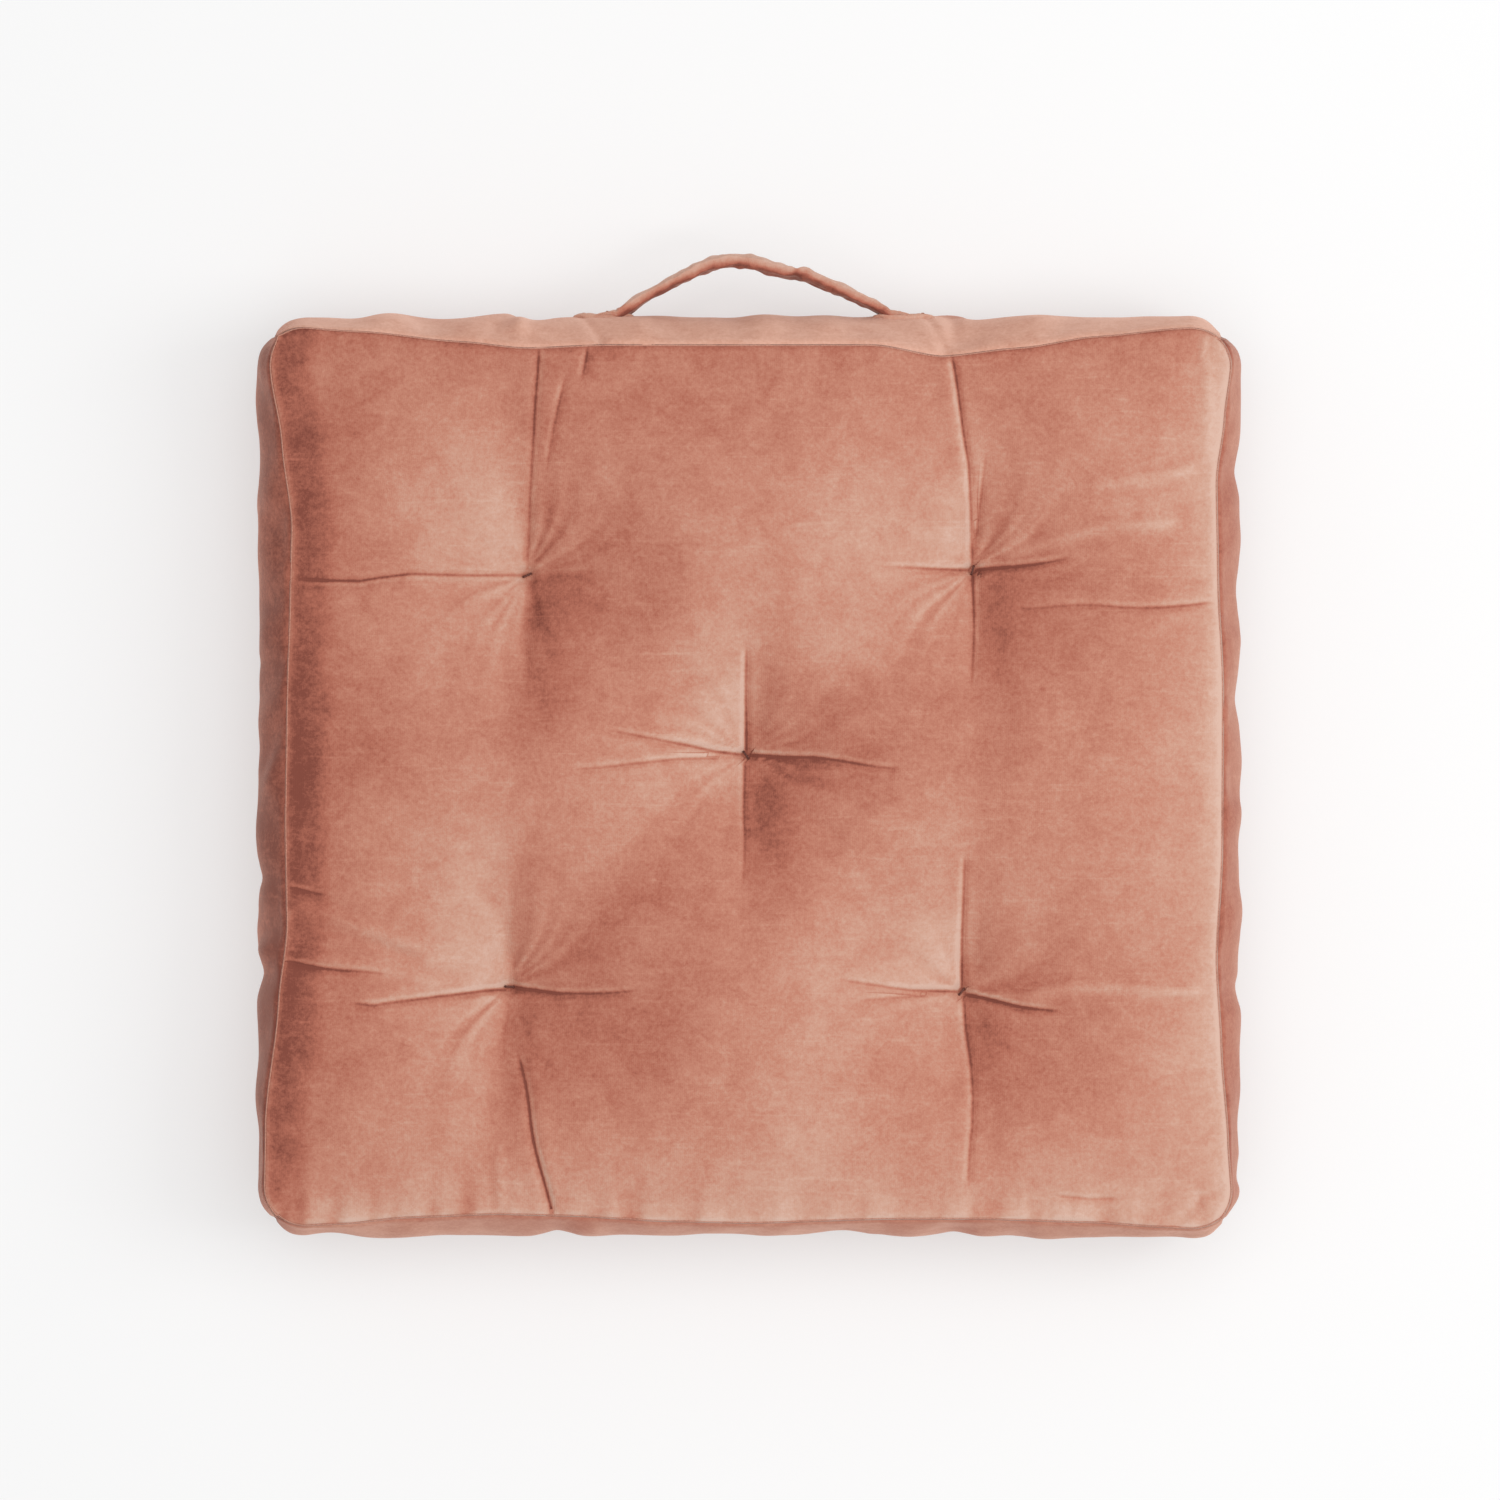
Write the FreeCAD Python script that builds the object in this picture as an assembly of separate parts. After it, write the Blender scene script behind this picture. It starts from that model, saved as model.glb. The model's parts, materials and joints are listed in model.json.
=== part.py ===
"""Square floor cushion, boxed, with five sewn tufts and a strap handle on its back side.

All sizes are in millimetres. The cushion lies flat, +Z is up, +X is to the right and +Y is
the back, where the handle is. The origin is on the floor under the middle of the cushion.

The cushion is two face panels and four side panels of velvet, sewn edge to edge round one
pad of loose filling. Five ties of twine run through the pad and pull both faces in. The
handle is one strap whose ends are sewn flat to the back side panel, so that the free loop
between them swings up and down about the line through its two roots.
"""

import FreeCAD, Part
import math
import os

Vector = FreeCAD.Vector

# The cushion as a whole
cushion_width = 600.0  # left to right, over the bulge of the side panels
cushion_depth = 560.0  # front to back, over the bulge, without the handle
cushion_height = 130.0  # floor to the level middle of the top panel
corner_radius = 28.0  # of the upright corners, seen from above
side_bulge = 17.0  # the middle of a side panel stands out this far past its seams
top_crown = 21.0  # rise of the top panel from its seam to its level middle
top_shoulder = 96.0  # width of the slope that this rise takes
bottom_crown = 14.0  # the same on the underside, which its own weight flattens
bottom_shoulder = 76.0

# Cloth, seams and filling
velvet = 1.6  # thickness of the cloth with its pile
seam_gap = 1.2  # between the edges of two panels, where the thread runs
seam_thread = 0.8  # thickness of the sewing thread
thread_cover = 0.2  # the thread lies this far under the outside of the cloth
filling_gap = 0.3  # between the cloth and the filling

# Tufts: nominal distance from the side of the cushion, and the drift of hand sewing
tuft_inset_x = 164.0
tuft_inset_y = 153.0
TUFTS = {
    # name: (side in x, side in y, drift in x, drift in y)
    "back_left": (-1, 1, 0.8, -3.7),
    "back_right": (1, 1, 1.0, -0.6),
    "centre": (0, 0, -1.5, 13.4),
    "front_left": (-1, -1, -10.2, -1.2),
    "front_right": (1, -1, -5.7, -4.2),
}

# The dimple that a tuft makes: a rounded lip, a cone, and a small flat floor
top_dimple_radius = 60.0
top_dimple_lip = 40.0
top_dimple_slope = 45.0  # degrees
bottom_dimple_radius = 45.0
bottom_dimple_lip = 30.0
bottom_dimple_slope = 40.0
dimple_floor_radius = 5.0
lip_overlap = 0.02  # the lip starts this far outside the level cloth, for a clean cut

# Tuft ties
twine = 2.4  # diameter of the doubled twine
twine_clearance = 0.2  # between the twine and the hole that it makes
tie_stitch_length = 8.0  # the part of the tie that shows in the top dimple
tie_knot_radius = 3.0  # the knot in the bottom dimple

# Handle
handle_offset = 3.0  # middle of the handle, to the right of the middle of the cushion
handle_span = 158.0  # between the roots, on the line that the loop swings about
handle_rise = 28.6  # from that line to the middle of the strap at its highest
strap_thickness = 8.5
strap_width = 20.0
strap_edge_radius = 3.0
neck_length = 9.0  # along the span, from each root to the end of its round neck
gather_length = 18.0  # from there to where the strap has its full width
hinge_standoff = 7.0  # from the back of the cushion to the line of the roots
root_length = 12.0  # of the rolled end at each root
tab_length = 38.0  # sewn-down end of the strap
tab_width = 18.0
tab_thickness = 2.2
sewn_gap = 0.05  # between a sewn-down piece and the cloth under it
tack_width = 2.2  # bar tacks across each tab
tack_height = 10.8
tack_thickness = 0.6
tack_spacing = 14.0

# Worked out from the sizes above
half_width = cushion_width / 2
half_depth = cushion_depth / 2
top_seam_z = cushion_height - top_crown
bottom_seam_z = bottom_crown
middle_z = (top_seam_z + bottom_seam_z) / 2
hinge_y = half_depth + hinge_standoff
clear = 20.0  # how far cutting tools reach past what they cut


def slope_arc(u_level, z_level, u_seam, z_seam):
    """Arc that leaves the level part flat and ends at the seam, as (middle point, radius)."""
    run = u_seam - u_level
    rise = z_level - z_seam
    radius = (run**2 + rise**2) / (2 * abs(rise))
    half_turn = math.asin(run / radius) / 2
    drop = radius * (1 - math.cos(half_turn))
    return u_level + radius * math.sin(half_turn), z_level - math.copysign(drop, rise)


def side_profile(half_length, inset, place):
    """Upright section of the cushion, drawn in from the outside of the cloth by inset."""
    side = half_length - inset
    seam = side - side_bulge
    top, bottom = cushion_height - inset, inset
    upper, lower = top_seam_z - inset, bottom_seam_z + inset
    top_level, bottom_level = side - top_shoulder, side - bottom_shoulder
    top_middle = slope_arc(top_level, top, seam, upper)
    bottom_middle = slope_arc(bottom_level, bottom, seam, lower)

    def mirrored(point):
        return -point[0], point[1]

    def arc(a, b, c):
        return Part.Arc(place(*a), place(*b), place(*c)).toShape()

    def line(a, b):
        return Part.LineSegment(place(*a), place(*b)).toShape()

    right = [
        ((bottom_level, bottom), bottom_middle, (seam, lower)),
        ((seam, lower), (side, middle_z), (seam, upper)),
        ((seam, upper), top_middle, (top_level, top)),
    ]
    edges = [arc(*points) for points in right]
    edges.append(line((top_level, top), (-top_level, top)))
    edges += [arc(*[mirrored(p) for p in reversed(points)]) for points in reversed(right)]
    edges.append(line((-bottom_level, bottom), (bottom_level, bottom)))
    return Part.Face(Part.Wire(edges))


def rounded_plan(inset):
    """Upright prism whose plan is the cushion's rectangle with rounded corners."""
    width = cushion_width - 2 * inset
    depth = cushion_depth - 2 * inset
    prism = Part.makeBox(width, depth, cushion_height, Vector(-width / 2, -depth / 2, 0))
    upright = [e for e in prism.Edges if abs(e.tangentAt(e.FirstParameter).z) > 0.9]
    return prism.makeFillet(corner_radius - inset, upright)


def cushion_block(inset):
    """The plain cushion without dimples, drawn in by inset, or let out if inset is negative."""
    across = side_profile(half_width, inset, lambda u, z: Vector(u, -half_depth - clear, z))
    along = side_profile(half_depth, inset, lambda u, z: Vector(-half_width - clear, u, z))
    across = across.extrude(Vector(0, cushion_depth + 2 * clear, 0))
    along = along.extrude(Vector(cushion_width + 2 * clear, 0, 0))
    return across.common(along).common(rounded_plan(inset))


def dimple_floor(radius, lip, slope):
    """Depth of a dimple's floor below the level cloth."""
    angle = math.radians(slope)
    lip_depth = lip * (1 - math.cos(angle))
    cone_run = radius - lip * math.sin(angle) - dimple_floor_radius
    return lip_depth + cone_run * math.tan(angle)


def dimple(x, y, level_z, up, radius, lip, slope, inset):
    """The space of one dimple, let out by inset: lip, cone and floor turned about the tie."""
    angle = math.radians(slope)
    lip_inner = lip - inset
    cone_r = radius - lip_inner * math.sin(angle)
    cone_z = -lip + lip_inner * math.cos(angle)
    floor_z = -dimple_floor(radius, lip, slope) - inset
    floor_r = cone_r - (cone_z - floor_z) / math.tan(angle)
    half = angle / 2
    lip_middle = (radius - lip_inner * math.sin(half), -lip + lip_inner * math.cos(half))

    def point(r, z):
        return Vector(x + r, y, level_z + up * (z + lip_overlap))

    edges = [
        Part.LineSegment(point(0, floor_z), point(floor_r, floor_z)).toShape(),
        Part.LineSegment(point(floor_r, floor_z), point(cone_r, cone_z)).toShape(),
        Part.Arc(point(cone_r, cone_z), point(*lip_middle), point(radius, -inset)).toShape(),
        Part.LineSegment(point(radius, -inset), point(radius, clear)).toShape(),
        Part.LineSegment(point(radius, clear), point(0, clear)).toShape(),
        Part.LineSegment(point(0, clear), point(0, floor_z)).toShape(),
    ]
    face = Part.Face(Part.Wire(edges))
    return face.revolve(Vector(x, y, 0), Vector(0, 0, 1), 360)


top_dimple_shape = (top_dimple_radius, top_dimple_lip, top_dimple_slope)
bottom_dimple_shape = (bottom_dimple_radius, bottom_dimple_lip, bottom_dimple_slope)
top_floor_z = cushion_height - dimple_floor(*top_dimple_shape) + lip_overlap
bottom_floor_z = dimple_floor(*bottom_dimple_shape) - lip_overlap


def tuft_place(name):
    """Where a tuft's tie stands, seen from above."""
    side_x, side_y, drift_x, drift_y = TUFTS[name]
    x = side_x * (half_width - tuft_inset_x) + drift_x
    y = side_y * (half_depth - tuft_inset_y) + drift_y
    return x, y


def dimpled_block(inset):
    """The cushion drawn in by inset, with its ten dimples."""
    block = cushion_block(inset)
    for name in TUFTS:
        x, y = tuft_place(name)
        block = block.cut(dimple(x, y, cushion_height, 1, *top_dimple_shape, inset))
        block = block.cut(dimple(x, y, 0, -1, *bottom_dimple_shape, inset))
    return block


def slab(z_low, z_high):
    """A level slab that takes in the whole cushion."""
    width = cushion_width + 2 * clear
    depth = cushion_depth + 2 * clear
    return Part.makeBox(width, depth, z_high - z_low, Vector(-width / 2, -depth / 2, z_low))


def tie_channels():
    """The holes that the ties pass through."""
    radius = twine / 2 + twine_clearance
    height = cushion_height + 2 * clear
    return [
        Part.makeCylinder(radius, height, Vector(*tuft_place(name), -clear)) for name in TUFTS
    ]


def dimple_columns(up):
    """Upright columns round the ties, which take in the walls of the dimples on one face."""
    radius = top_dimple_radius if up else bottom_dimple_radius
    low, high = (middle_z, cushion_height) if up else (0, middle_z)
    return [
        Part.makeCylinder(radius, high - low, Vector(*tuft_place(name), low)) for name in TUFTS
    ]


def corner_wedge(runs_along_x, side):
    """Plan of one side panel's share of the cushion, mitred at both corners.

    The back and front panels run along X, and side is 1 or -1: the side it is on.
    """
    reach = side_bulge + corner_radius + clear
    along, out = (half_width, half_depth) if runs_along_x else (half_depth, half_width)
    short = seam_gap / 2 * math.sqrt(2)  # the mitre stands back by half the gap
    outer = along + clear - short
    inner = along - reach - short
    plan = [
        (-outer, out + clear),
        (outer, out + clear),
        (inner, out - reach),
        (-inner, out - reach),
    ]
    points = []
    for u, v in plan:
        v *= side
        points.append(Vector(u, v, 0) if runs_along_x else Vector(v, u, 0))
    points.append(points[0])
    face = Part.Face(Part.makePolygon(points))
    low = bottom_seam_z + seam_gap / 2
    high = top_seam_z - seam_gap / 2
    face.translate(Vector(0, 0, low))
    return face.extrude(Vector(0, 0, high - low))


def thread_skin():
    """Where a seam's thread may lie: inside the thickness of the cloth."""
    return cushion_block(thread_cover).cut(cushion_block(thread_cover + seam_thread))


def perimeter_seam(z):
    """Thread that runs right round the cushion at one height."""
    return thread_skin().common(slab(z - seam_thread / 2, z + seam_thread / 2))


def corner_seam(side_x, side_y):
    """Thread down one upright corner, in the mitre between two side panels."""
    low = bottom_seam_z + seam_gap / 2
    high = top_seam_z - seam_gap / 2
    reach = side_bulge + corner_radius + clear
    blade = Part.makeBox(
        reach * 2, seam_thread, high - low, Vector(-reach, -seam_thread / 2, low)
    )
    blade.rotate(Vector(0, 0, 0), Vector(0, 0, 1), 45 * side_x * side_y)
    blade.translate(Vector(side_x * half_width, side_y * half_depth, 0))
    return thread_skin().common(blade)


def tuft_tie(x, y):
    """Twine through the pad, with the short stitch on top and the knot underneath."""
    radius = twine / 2
    top_z = top_floor_z + radius
    low_z = bottom_floor_z - tie_knot_radius
    shank = Part.makeCylinder(radius, top_z - low_z, Vector(x, y, low_z))
    stitch_start = Vector(x - tie_stitch_length / 2, y, top_z)
    stitch = Part.makeCylinder(radius, tie_stitch_length, stitch_start, Vector(1, 0, 0))
    knot_z = bottom_floor_z - sewn_gap - tie_knot_radius
    knot = Part.makeSphere(tie_knot_radius, Vector(x, y, knot_z))
    return shank.fuse([stitch, knot]).removeSplitter()


def strap_outline():
    """Plan of the strap's width seen from behind: full width, gathered to a neck at each root."""
    full, neck = strap_width / 2, strap_thickness / 2
    narrow = handle_span / 2 - neck_length
    wide = narrow - gather_length
    end = handle_span / 2 + root_length
    quarter = [(wide, full), (narrow, neck), (end, neck)]
    plan = quarter + [(u, -w) for u, w in reversed(quarter)]
    plan += [(-u, -w) for u, w in quarter] + [(-u, w) for u, w in reversed(quarter)]
    points = [Vector(handle_offset + u, half_depth, middle_z + w) for u, w in plan]
    face = Part.Face(Part.makePolygon(points + [points[0]]))
    return face.extrude(Vector(0, hinge_standoff + handle_rise + strap_thickness + clear, 0))


def handle_strap():
    """The free loop: a rounded band bent in one arc, with a rolled end at each root."""
    half_span = handle_span / 2
    bend_radius = (half_span**2 + handle_rise**2) / (2 * handle_rise)
    centre_y = hinge_y + handle_rise - bend_radius
    half_turn = math.degrees(math.asin(half_span / bend_radius))
    inner = bend_radius - strap_thickness / 2
    section = Part.makeBox(
        strap_thickness, 1, strap_width,
        Vector(handle_offset + inner, centre_y, middle_z - strap_width / 2),
    )
    long_edges = [e for e in section.Edges if abs(e.tangentAt(e.FirstParameter).y) > 0.9]
    section = section.makeFillet(strap_edge_radius, long_edges)
    face = [f for f in section.Faces if abs(f.CenterOfMass.y - centre_y) < 1e-6][0]
    axis_point = Vector(handle_offset, centre_y, 0)
    spare_turn = 6.0  # degrees past each root, which the plane of the roots trims off
    face.rotate(axis_point, Vector(0, 0, 1), 90 - half_turn - spare_turn)
    band = face.revolve(axis_point, Vector(0, 0, 1), 2 * (half_turn + spare_turn))
    band = band.common(strap_outline())
    trim = Part.makeBox(
        cushion_width, hinge_standoff + clear, cushion_height,
        Vector(-cushion_width / 2, hinge_y - hinge_standoff - clear, 0),
    )
    loop = band.cut(trim)
    for side in (-1, 1):
        start = handle_offset + side * half_span - root_length / 2
        roll = Part.makeCylinder(
            strap_thickness / 2, root_length, Vector(start, hinge_y, middle_z), Vector(1, 0, 0)
        )
        loop = loop.fuse(roll)
    return loop.removeSplitter()


def sewn_layer(outline, under, thickness):
    """A piece that lies on the back side panel: its outline, what is under it, its thickness."""
    outside = cushion_block(-under - thickness)
    inside = cushion_block(-under)
    return outline.common(outside).cut(inside)


def tab_middle(side):
    """Middle of one tab, which starts under the root and runs outwards."""
    start = handle_span / 2 - root_length / 2
    return handle_offset + side * (start + tab_length / 2)


def handle_tab(side):
    """Sewn-down end of the strap: a flat oval on the back side panel."""
    middle = tab_middle(side)
    straight = tab_length - tab_width
    y = half_depth - side_bulge
    depth = side_bulge + clear
    outline = Part.makeBox(
        straight, depth, tab_width, Vector(middle - straight / 2, y, middle_z - tab_width / 2)
    )
    for end in (-1, 1):
        start = Vector(middle + end * straight / 2, y, middle_z)
        outline = outline.fuse(Part.makeCylinder(tab_width / 2, depth, start, Vector(0, 1, 0)))
    return sewn_layer(outline.removeSplitter(), sewn_gap, tab_thickness)


def handle_tack(side):
    """Two bar tacks of thread across one tab, at its outer half."""
    tacks = []
    for place in (0, 1):
        x = tab_middle(side) + side * (place * tack_spacing - tack_width)
        bar = Part.makeBox(
            tack_width, side_bulge + clear, tack_height,
            Vector(x - tack_width / 2, half_depth - side_bulge, middle_z - tack_height / 2),
        )
        tacks.append(sewn_layer(bar, 2 * sewn_gap + tab_thickness, tack_thickness))
    return Part.makeCompound([s for t in tacks for s in t.Solids])


def save(name, shape):
    """Write one sub-part, and print its size as a record of the build."""
    solids = shape.Solids
    shape = solids[0] if len(solids) == 1 else Part.makeCompound(solids)
    shape.exportStep(os.path.join("parts", name + ".step"))
    box = shape.BoundBox
    print(
        f"{name:26s} solids {len(solids)} volume {shape.Volume / 1000:9.2f} cm3  "
        f"x {box.XMin:7.1f} {box.XMax:7.1f}  y {box.YMin:7.1f} {box.YMax:7.1f}  "
        f"z {box.ZMin:6.1f} {box.ZMax:6.1f}  valid {shape.isValid()}"
    )


def main():
    os.makedirs("parts", exist_ok=True)
    channels = tie_channels()
    cloth = dimpled_block(0).cut(dimpled_block(velvet))

    above = slab(top_seam_z + seam_gap / 2, cushion_height + clear)
    below = slab(-clear, bottom_seam_z - seam_gap / 2)
    top_panel = cloth.common(above.fuse(dimple_columns(True)))
    bottom_panel = cloth.common(below.fuse(dimple_columns(False)))
    save("top_panel", top_panel.cut(channels))
    save("bottom_panel", bottom_panel.cut(channels))

    side_cloth = cushion_block(0).cut(cushion_block(velvet))
    for name, runs_along_x, side in (
        ("back", True, 1),
        ("front", True, -1),
        ("left", False, -1),
        ("right", False, 1),
    ):
        save("side_panel_" + name, side_cloth.common(corner_wedge(runs_along_x, side)))

    save("filling", dimpled_block(velvet + filling_gap).cut(channels))
    for name in TUFTS:
        save("tuft_tie_" + name, tuft_tie(*tuft_place(name)))

    save("top_seam_thread", perimeter_seam(top_seam_z))
    save("bottom_seam_thread", perimeter_seam(bottom_seam_z))
    for side_y, y_name in ((1, "back"), (-1, "front")):
        for side_x, x_name in ((-1, "left"), (1, "right")):
            save(f"corner_seam_{y_name}_{x_name}", corner_seam(side_x, side_y))

    save("handle_strap", handle_strap())
    for side, name in ((-1, "left"), (1, "right")):
        save("handle_tab_" + name, handle_tab(side))
        save("handle_tack_" + name, handle_tack(side))


main()
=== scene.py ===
"""Looks of the velvet floor cushion: cloth panels, seams, tufts and strap handle."""

import json
import math

import bpy
import numpy as np
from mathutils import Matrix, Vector

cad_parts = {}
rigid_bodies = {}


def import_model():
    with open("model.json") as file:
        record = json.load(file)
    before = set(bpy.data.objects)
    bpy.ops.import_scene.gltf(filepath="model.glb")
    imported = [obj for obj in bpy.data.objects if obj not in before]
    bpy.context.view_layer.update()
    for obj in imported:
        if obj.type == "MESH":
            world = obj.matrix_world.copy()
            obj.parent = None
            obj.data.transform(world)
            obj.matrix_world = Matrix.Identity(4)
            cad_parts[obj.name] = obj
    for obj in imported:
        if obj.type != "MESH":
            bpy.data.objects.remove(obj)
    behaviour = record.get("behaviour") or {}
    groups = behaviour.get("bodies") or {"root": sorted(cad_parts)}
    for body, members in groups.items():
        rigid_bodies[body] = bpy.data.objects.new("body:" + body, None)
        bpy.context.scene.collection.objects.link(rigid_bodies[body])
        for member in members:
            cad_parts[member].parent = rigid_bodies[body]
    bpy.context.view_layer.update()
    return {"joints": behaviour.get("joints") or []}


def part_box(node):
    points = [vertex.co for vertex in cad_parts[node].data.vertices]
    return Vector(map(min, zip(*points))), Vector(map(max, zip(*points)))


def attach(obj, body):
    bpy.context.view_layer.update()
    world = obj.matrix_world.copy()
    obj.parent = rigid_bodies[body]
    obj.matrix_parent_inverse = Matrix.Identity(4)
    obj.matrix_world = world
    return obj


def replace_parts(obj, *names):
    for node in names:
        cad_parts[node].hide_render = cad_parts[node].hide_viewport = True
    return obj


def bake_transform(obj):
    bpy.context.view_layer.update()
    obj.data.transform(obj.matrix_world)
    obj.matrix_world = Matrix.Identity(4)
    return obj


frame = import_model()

for name in ("Cube", "Light", "Camera"):
    if name in bpy.data.objects:
        bpy.data.objects.remove(bpy.data.objects[name])

# ------------------------------------------------------------------ sizes, in metres
MM = 0.001


def middle_of(node):
    """Middle of a CAD node's box."""
    low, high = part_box(node)
    return (np.array(low) + np.array(high)) / 2


TUFT_NAMES = ("back_left", "back_right", "centre", "front_left", "front_right")
TUFTS = {name: middle_of("tuft_tie_" + name)[:2] for name in TUFT_NAMES}
HALF_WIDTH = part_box("side_panel_right")[1][0]
HALF_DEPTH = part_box("side_panel_back")[1][1]
TOP_SEAM_Z = middle_of("top_seam_thread")[2]
BOTTOM_SEAM_Z = middle_of("bottom_seam_thread")[2]
TOP_TUFT_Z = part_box("top_panel")[0][2]
BOTTOM_TUFT_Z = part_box("bottom_panel")[1][2]
HINGE = np.array(frame["joints"][0]["pos_m"])

# How far the top seam lies inside the cushion's outline, along each side: (share of the
# side, inset in mm). The seam meets the outline at the corners and pulls in between them.
TOP_INSETS = {
    "left": [(0, 4), (0.12, 5), (0.25, 13), (0.33, 18), (0.45, 17), (0.58, 18), (0.7, 20),
             (0.78, 21), (0.87, 15), (0.95, 8), (1, 5)],
    "right": [(0, 3), (0.1, 7), (0.2, 11), (0.3, 14), (0.42, 10.5), (0.6, 10), (0.72, 13),
              (0.83, 14), (0.9, 9), (0.96, 5), (1, 5)],
    "back": [(0, 4), (0.1, 8), (0.2, 14), (0.27, 18), (0.35, 16), (0.5, 16), (0.63, 16),
             (0.7, 23), (0.78, 18), (0.86, 11), (0.95, 6), (1, 5)],
    "front": [(0, 5), (0.08, 7), (0.15, 11), (0.24, 13), (0.31, 12), (0.42, 8.5), (0.5, 7.5),
              (0.64, 10), (0.74, 10), (0.85, 8), (0.93, 5), (1, 3)],
}
BOTTOM_INSETS = {
    "left": [(0, 6), (0.2, 13), (0.5, 16), (0.8, 13), (1, 6)],
    "right": [(0, 6), (0.2, 12), (0.5, 15), (0.8, 13), (1, 6)],
    "back": [(0, 6), (0.25, 14), (0.5, 16), (0.75, 15), (1, 6)],
    "front": [(0, 6), (0.2, 12), (0.5, 14), (0.8, 13), (1, 6)],
}

# The filling's push on the cloth, and how much fuller the cloth is cut than its frame
PRESSURE = 4.0
FULLNESS = 0.008
SIM_FRAMES = 20

# Coarse grid for the simulation, and how many times finer the finished cloth is
CELLS_X = 80
CELLS_Y = 75
CELLS_Z = 12
FINER = 4
FINER_Z = 3


# ------------------------------------------------------------------ curves and grids
def spline_rows(count, finer):
    """Matrix that takes count + 1 samples to count * finer + 1 on the same smooth curve.

    Each row holds the four Catmull-Rom weights of its place between two samples, and the
    end samples are continued in a straight line.
    """
    t = np.arange(count * finer + 1) / finer
    cell = np.minimum(t.astype(int), count - 1)
    u = t - cell
    weights = np.stack([
        -0.5 * u + u**2 - 0.5 * u**3,
        1 - 2.5 * u**2 + 1.5 * u**3,
        0.5 * u + 2 * u**2 - 1.5 * u**3,
        -0.5 * u**2 + 0.5 * u**3,
    ])
    rows = np.zeros((len(t), count + 3))
    for k in range(4):
        rows[np.arange(len(t)), cell + k] = weights[k]
    rows[:, 1] += 2 * rows[:, 0]
    rows[:, 2] -= rows[:, 0]
    rows[:, -2] += 2 * rows[:, -1]
    rows[:, -3] -= rows[:, -1]
    return rows[:, 1:-1]


def along(points, t):
    """Smooth values at t through (place, value) points: cosine steps between neighbours."""
    place, value = np.array(points, float).T
    k = np.clip(np.searchsorted(place, t, side="right") - 1, 0, len(place) - 2)
    u = np.clip((t - place[k]) / (place[k + 1] - place[k]), 0, 1)
    u = (u + (1 - np.cos(np.pi * u)) / 2) / 2
    return value[k] + (value[k + 1] - value[k]) * u


def ripple(x, y, size, seed, octaves=3):
    """Smooth wandering values about 0: seeded sine waves in many directions, summed."""
    rng = np.random.default_rng(seed)
    total = np.zeros_like(x)
    for octave in range(octaves):
        for _ in range(7):
            turn = rng.uniform(0, 2 * np.pi)
            k = 2 * np.pi / size * 1.9**octave * rng.uniform(0.7, 1.3)
            phase = rng.uniform(0, 2 * np.pi)
            wave = np.sin(k * (x * np.cos(turn) + y * np.sin(turn)) + phase)
            total += wave / 1.8**octave / 7**0.5
    return total


def unit(vectors):
    """Vectors of length 1 the same way, along the last axis."""
    return vectors / np.maximum(np.linalg.norm(vectors, axis=-1, keepdims=True), 1e-12)


def run_along(path):
    """Length run from the first point of a path to each of its points."""
    return np.concatenate([[0], np.cumsum(np.linalg.norm(np.diff(path, axis=0), axis=1))])


def normals_of(grid):
    """Unit normals of a grid of points: the cross product of its two directions."""
    return unit(np.cross(np.gradient(grid, axis=0), np.gradient(grid, axis=1)))


def neighbour_mean(grid):
    """Mean of the four neighbours of every inner point of a grid."""
    return (grid[2:, 1:-1] + grid[:-2, 1:-1] + grid[1:-1, 2:] + grid[1:-1, :-2]) / 4


def off_segment(x, y, start, step):
    """How far along a straight stretch each point's nearest place lies, from 0 to 1, and how
    far away it is."""
    dx, dy = x - start[0], y - start[1]
    t = np.clip((dx * step[0] + dy * step[1]) / (step[0] ** 2 + step[1] ** 2), 0, 1)
    return t, np.hypot(dx - t * step[0], dy - t * step[1])


def smoothstep(x):
    """0 below 0, 1 above 1, and 3x^2 - 2x^3 between them."""
    x = np.clip(x, 0, 1)
    return x * x * (3 - 2 * x)


# ------------------------------------------------------------------ seam lines
def seam_line(insets, side, t, z):
    """Points along one side's seam at shares t of the side, insets inside the outline."""
    left, right = insets["left"], insets["right"]
    front, back = insets["front"], insets["back"]
    x_low, x_high = -HALF_WIDTH, HALF_WIDTH
    y_low, y_high = -HALF_DEPTH, HALF_DEPTH
    if side in ("front", "back"):
        v = 0.0 if side == "front" else 1.0
        x_start = x_low + along(left, np.array([v]))[0] * MM
        x_end = x_high - along(right, np.array([v]))[0] * MM
        x = x_start + (x_end - x_start) * t
        depth = along(insets[side], t) * MM
        y = y_low + depth if side == "front" else y_high - depth
    else:
        u = 0.0 if side == "left" else 1.0
        y_start = y_low + along(front, np.array([u]))[0] * MM
        y_end = y_high - along(back, np.array([u]))[0] * MM
        y = y_start + (y_end - y_start) * t
        depth = along(insets[side], t) * MM
        x = x_low + depth if side == "left" else x_high - depth
    return np.stack([x, y, np.full_like(t, z)], axis=1)


def face_grid(insets, z):
    """Flat grid between the four seam lines: each side's line blended across the face."""
    u = np.linspace(0, 1, CELLS_X + 1)
    v = np.linspace(0, 1, CELLS_Y + 1)
    front = seam_line(insets, "front", u, z)
    back = seam_line(insets, "back", u, z)
    left = seam_line(insets, "left", v, z)
    right = seam_line(insets, "right", v, z)
    uu, vv = u[:, None, None], v[None, :, None]
    across = (1 - vv) * front[:, None] + vv * back[:, None]
    down = (1 - uu) * left[None] + uu * right[None]
    corners = (
        (1 - uu) * (1 - vv) * front[0]
        + uu * (1 - vv) * front[-1]
        + (1 - uu) * vv * back[0]
        + uu * vv * back[-1]
    )
    return across + down - corners


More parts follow.
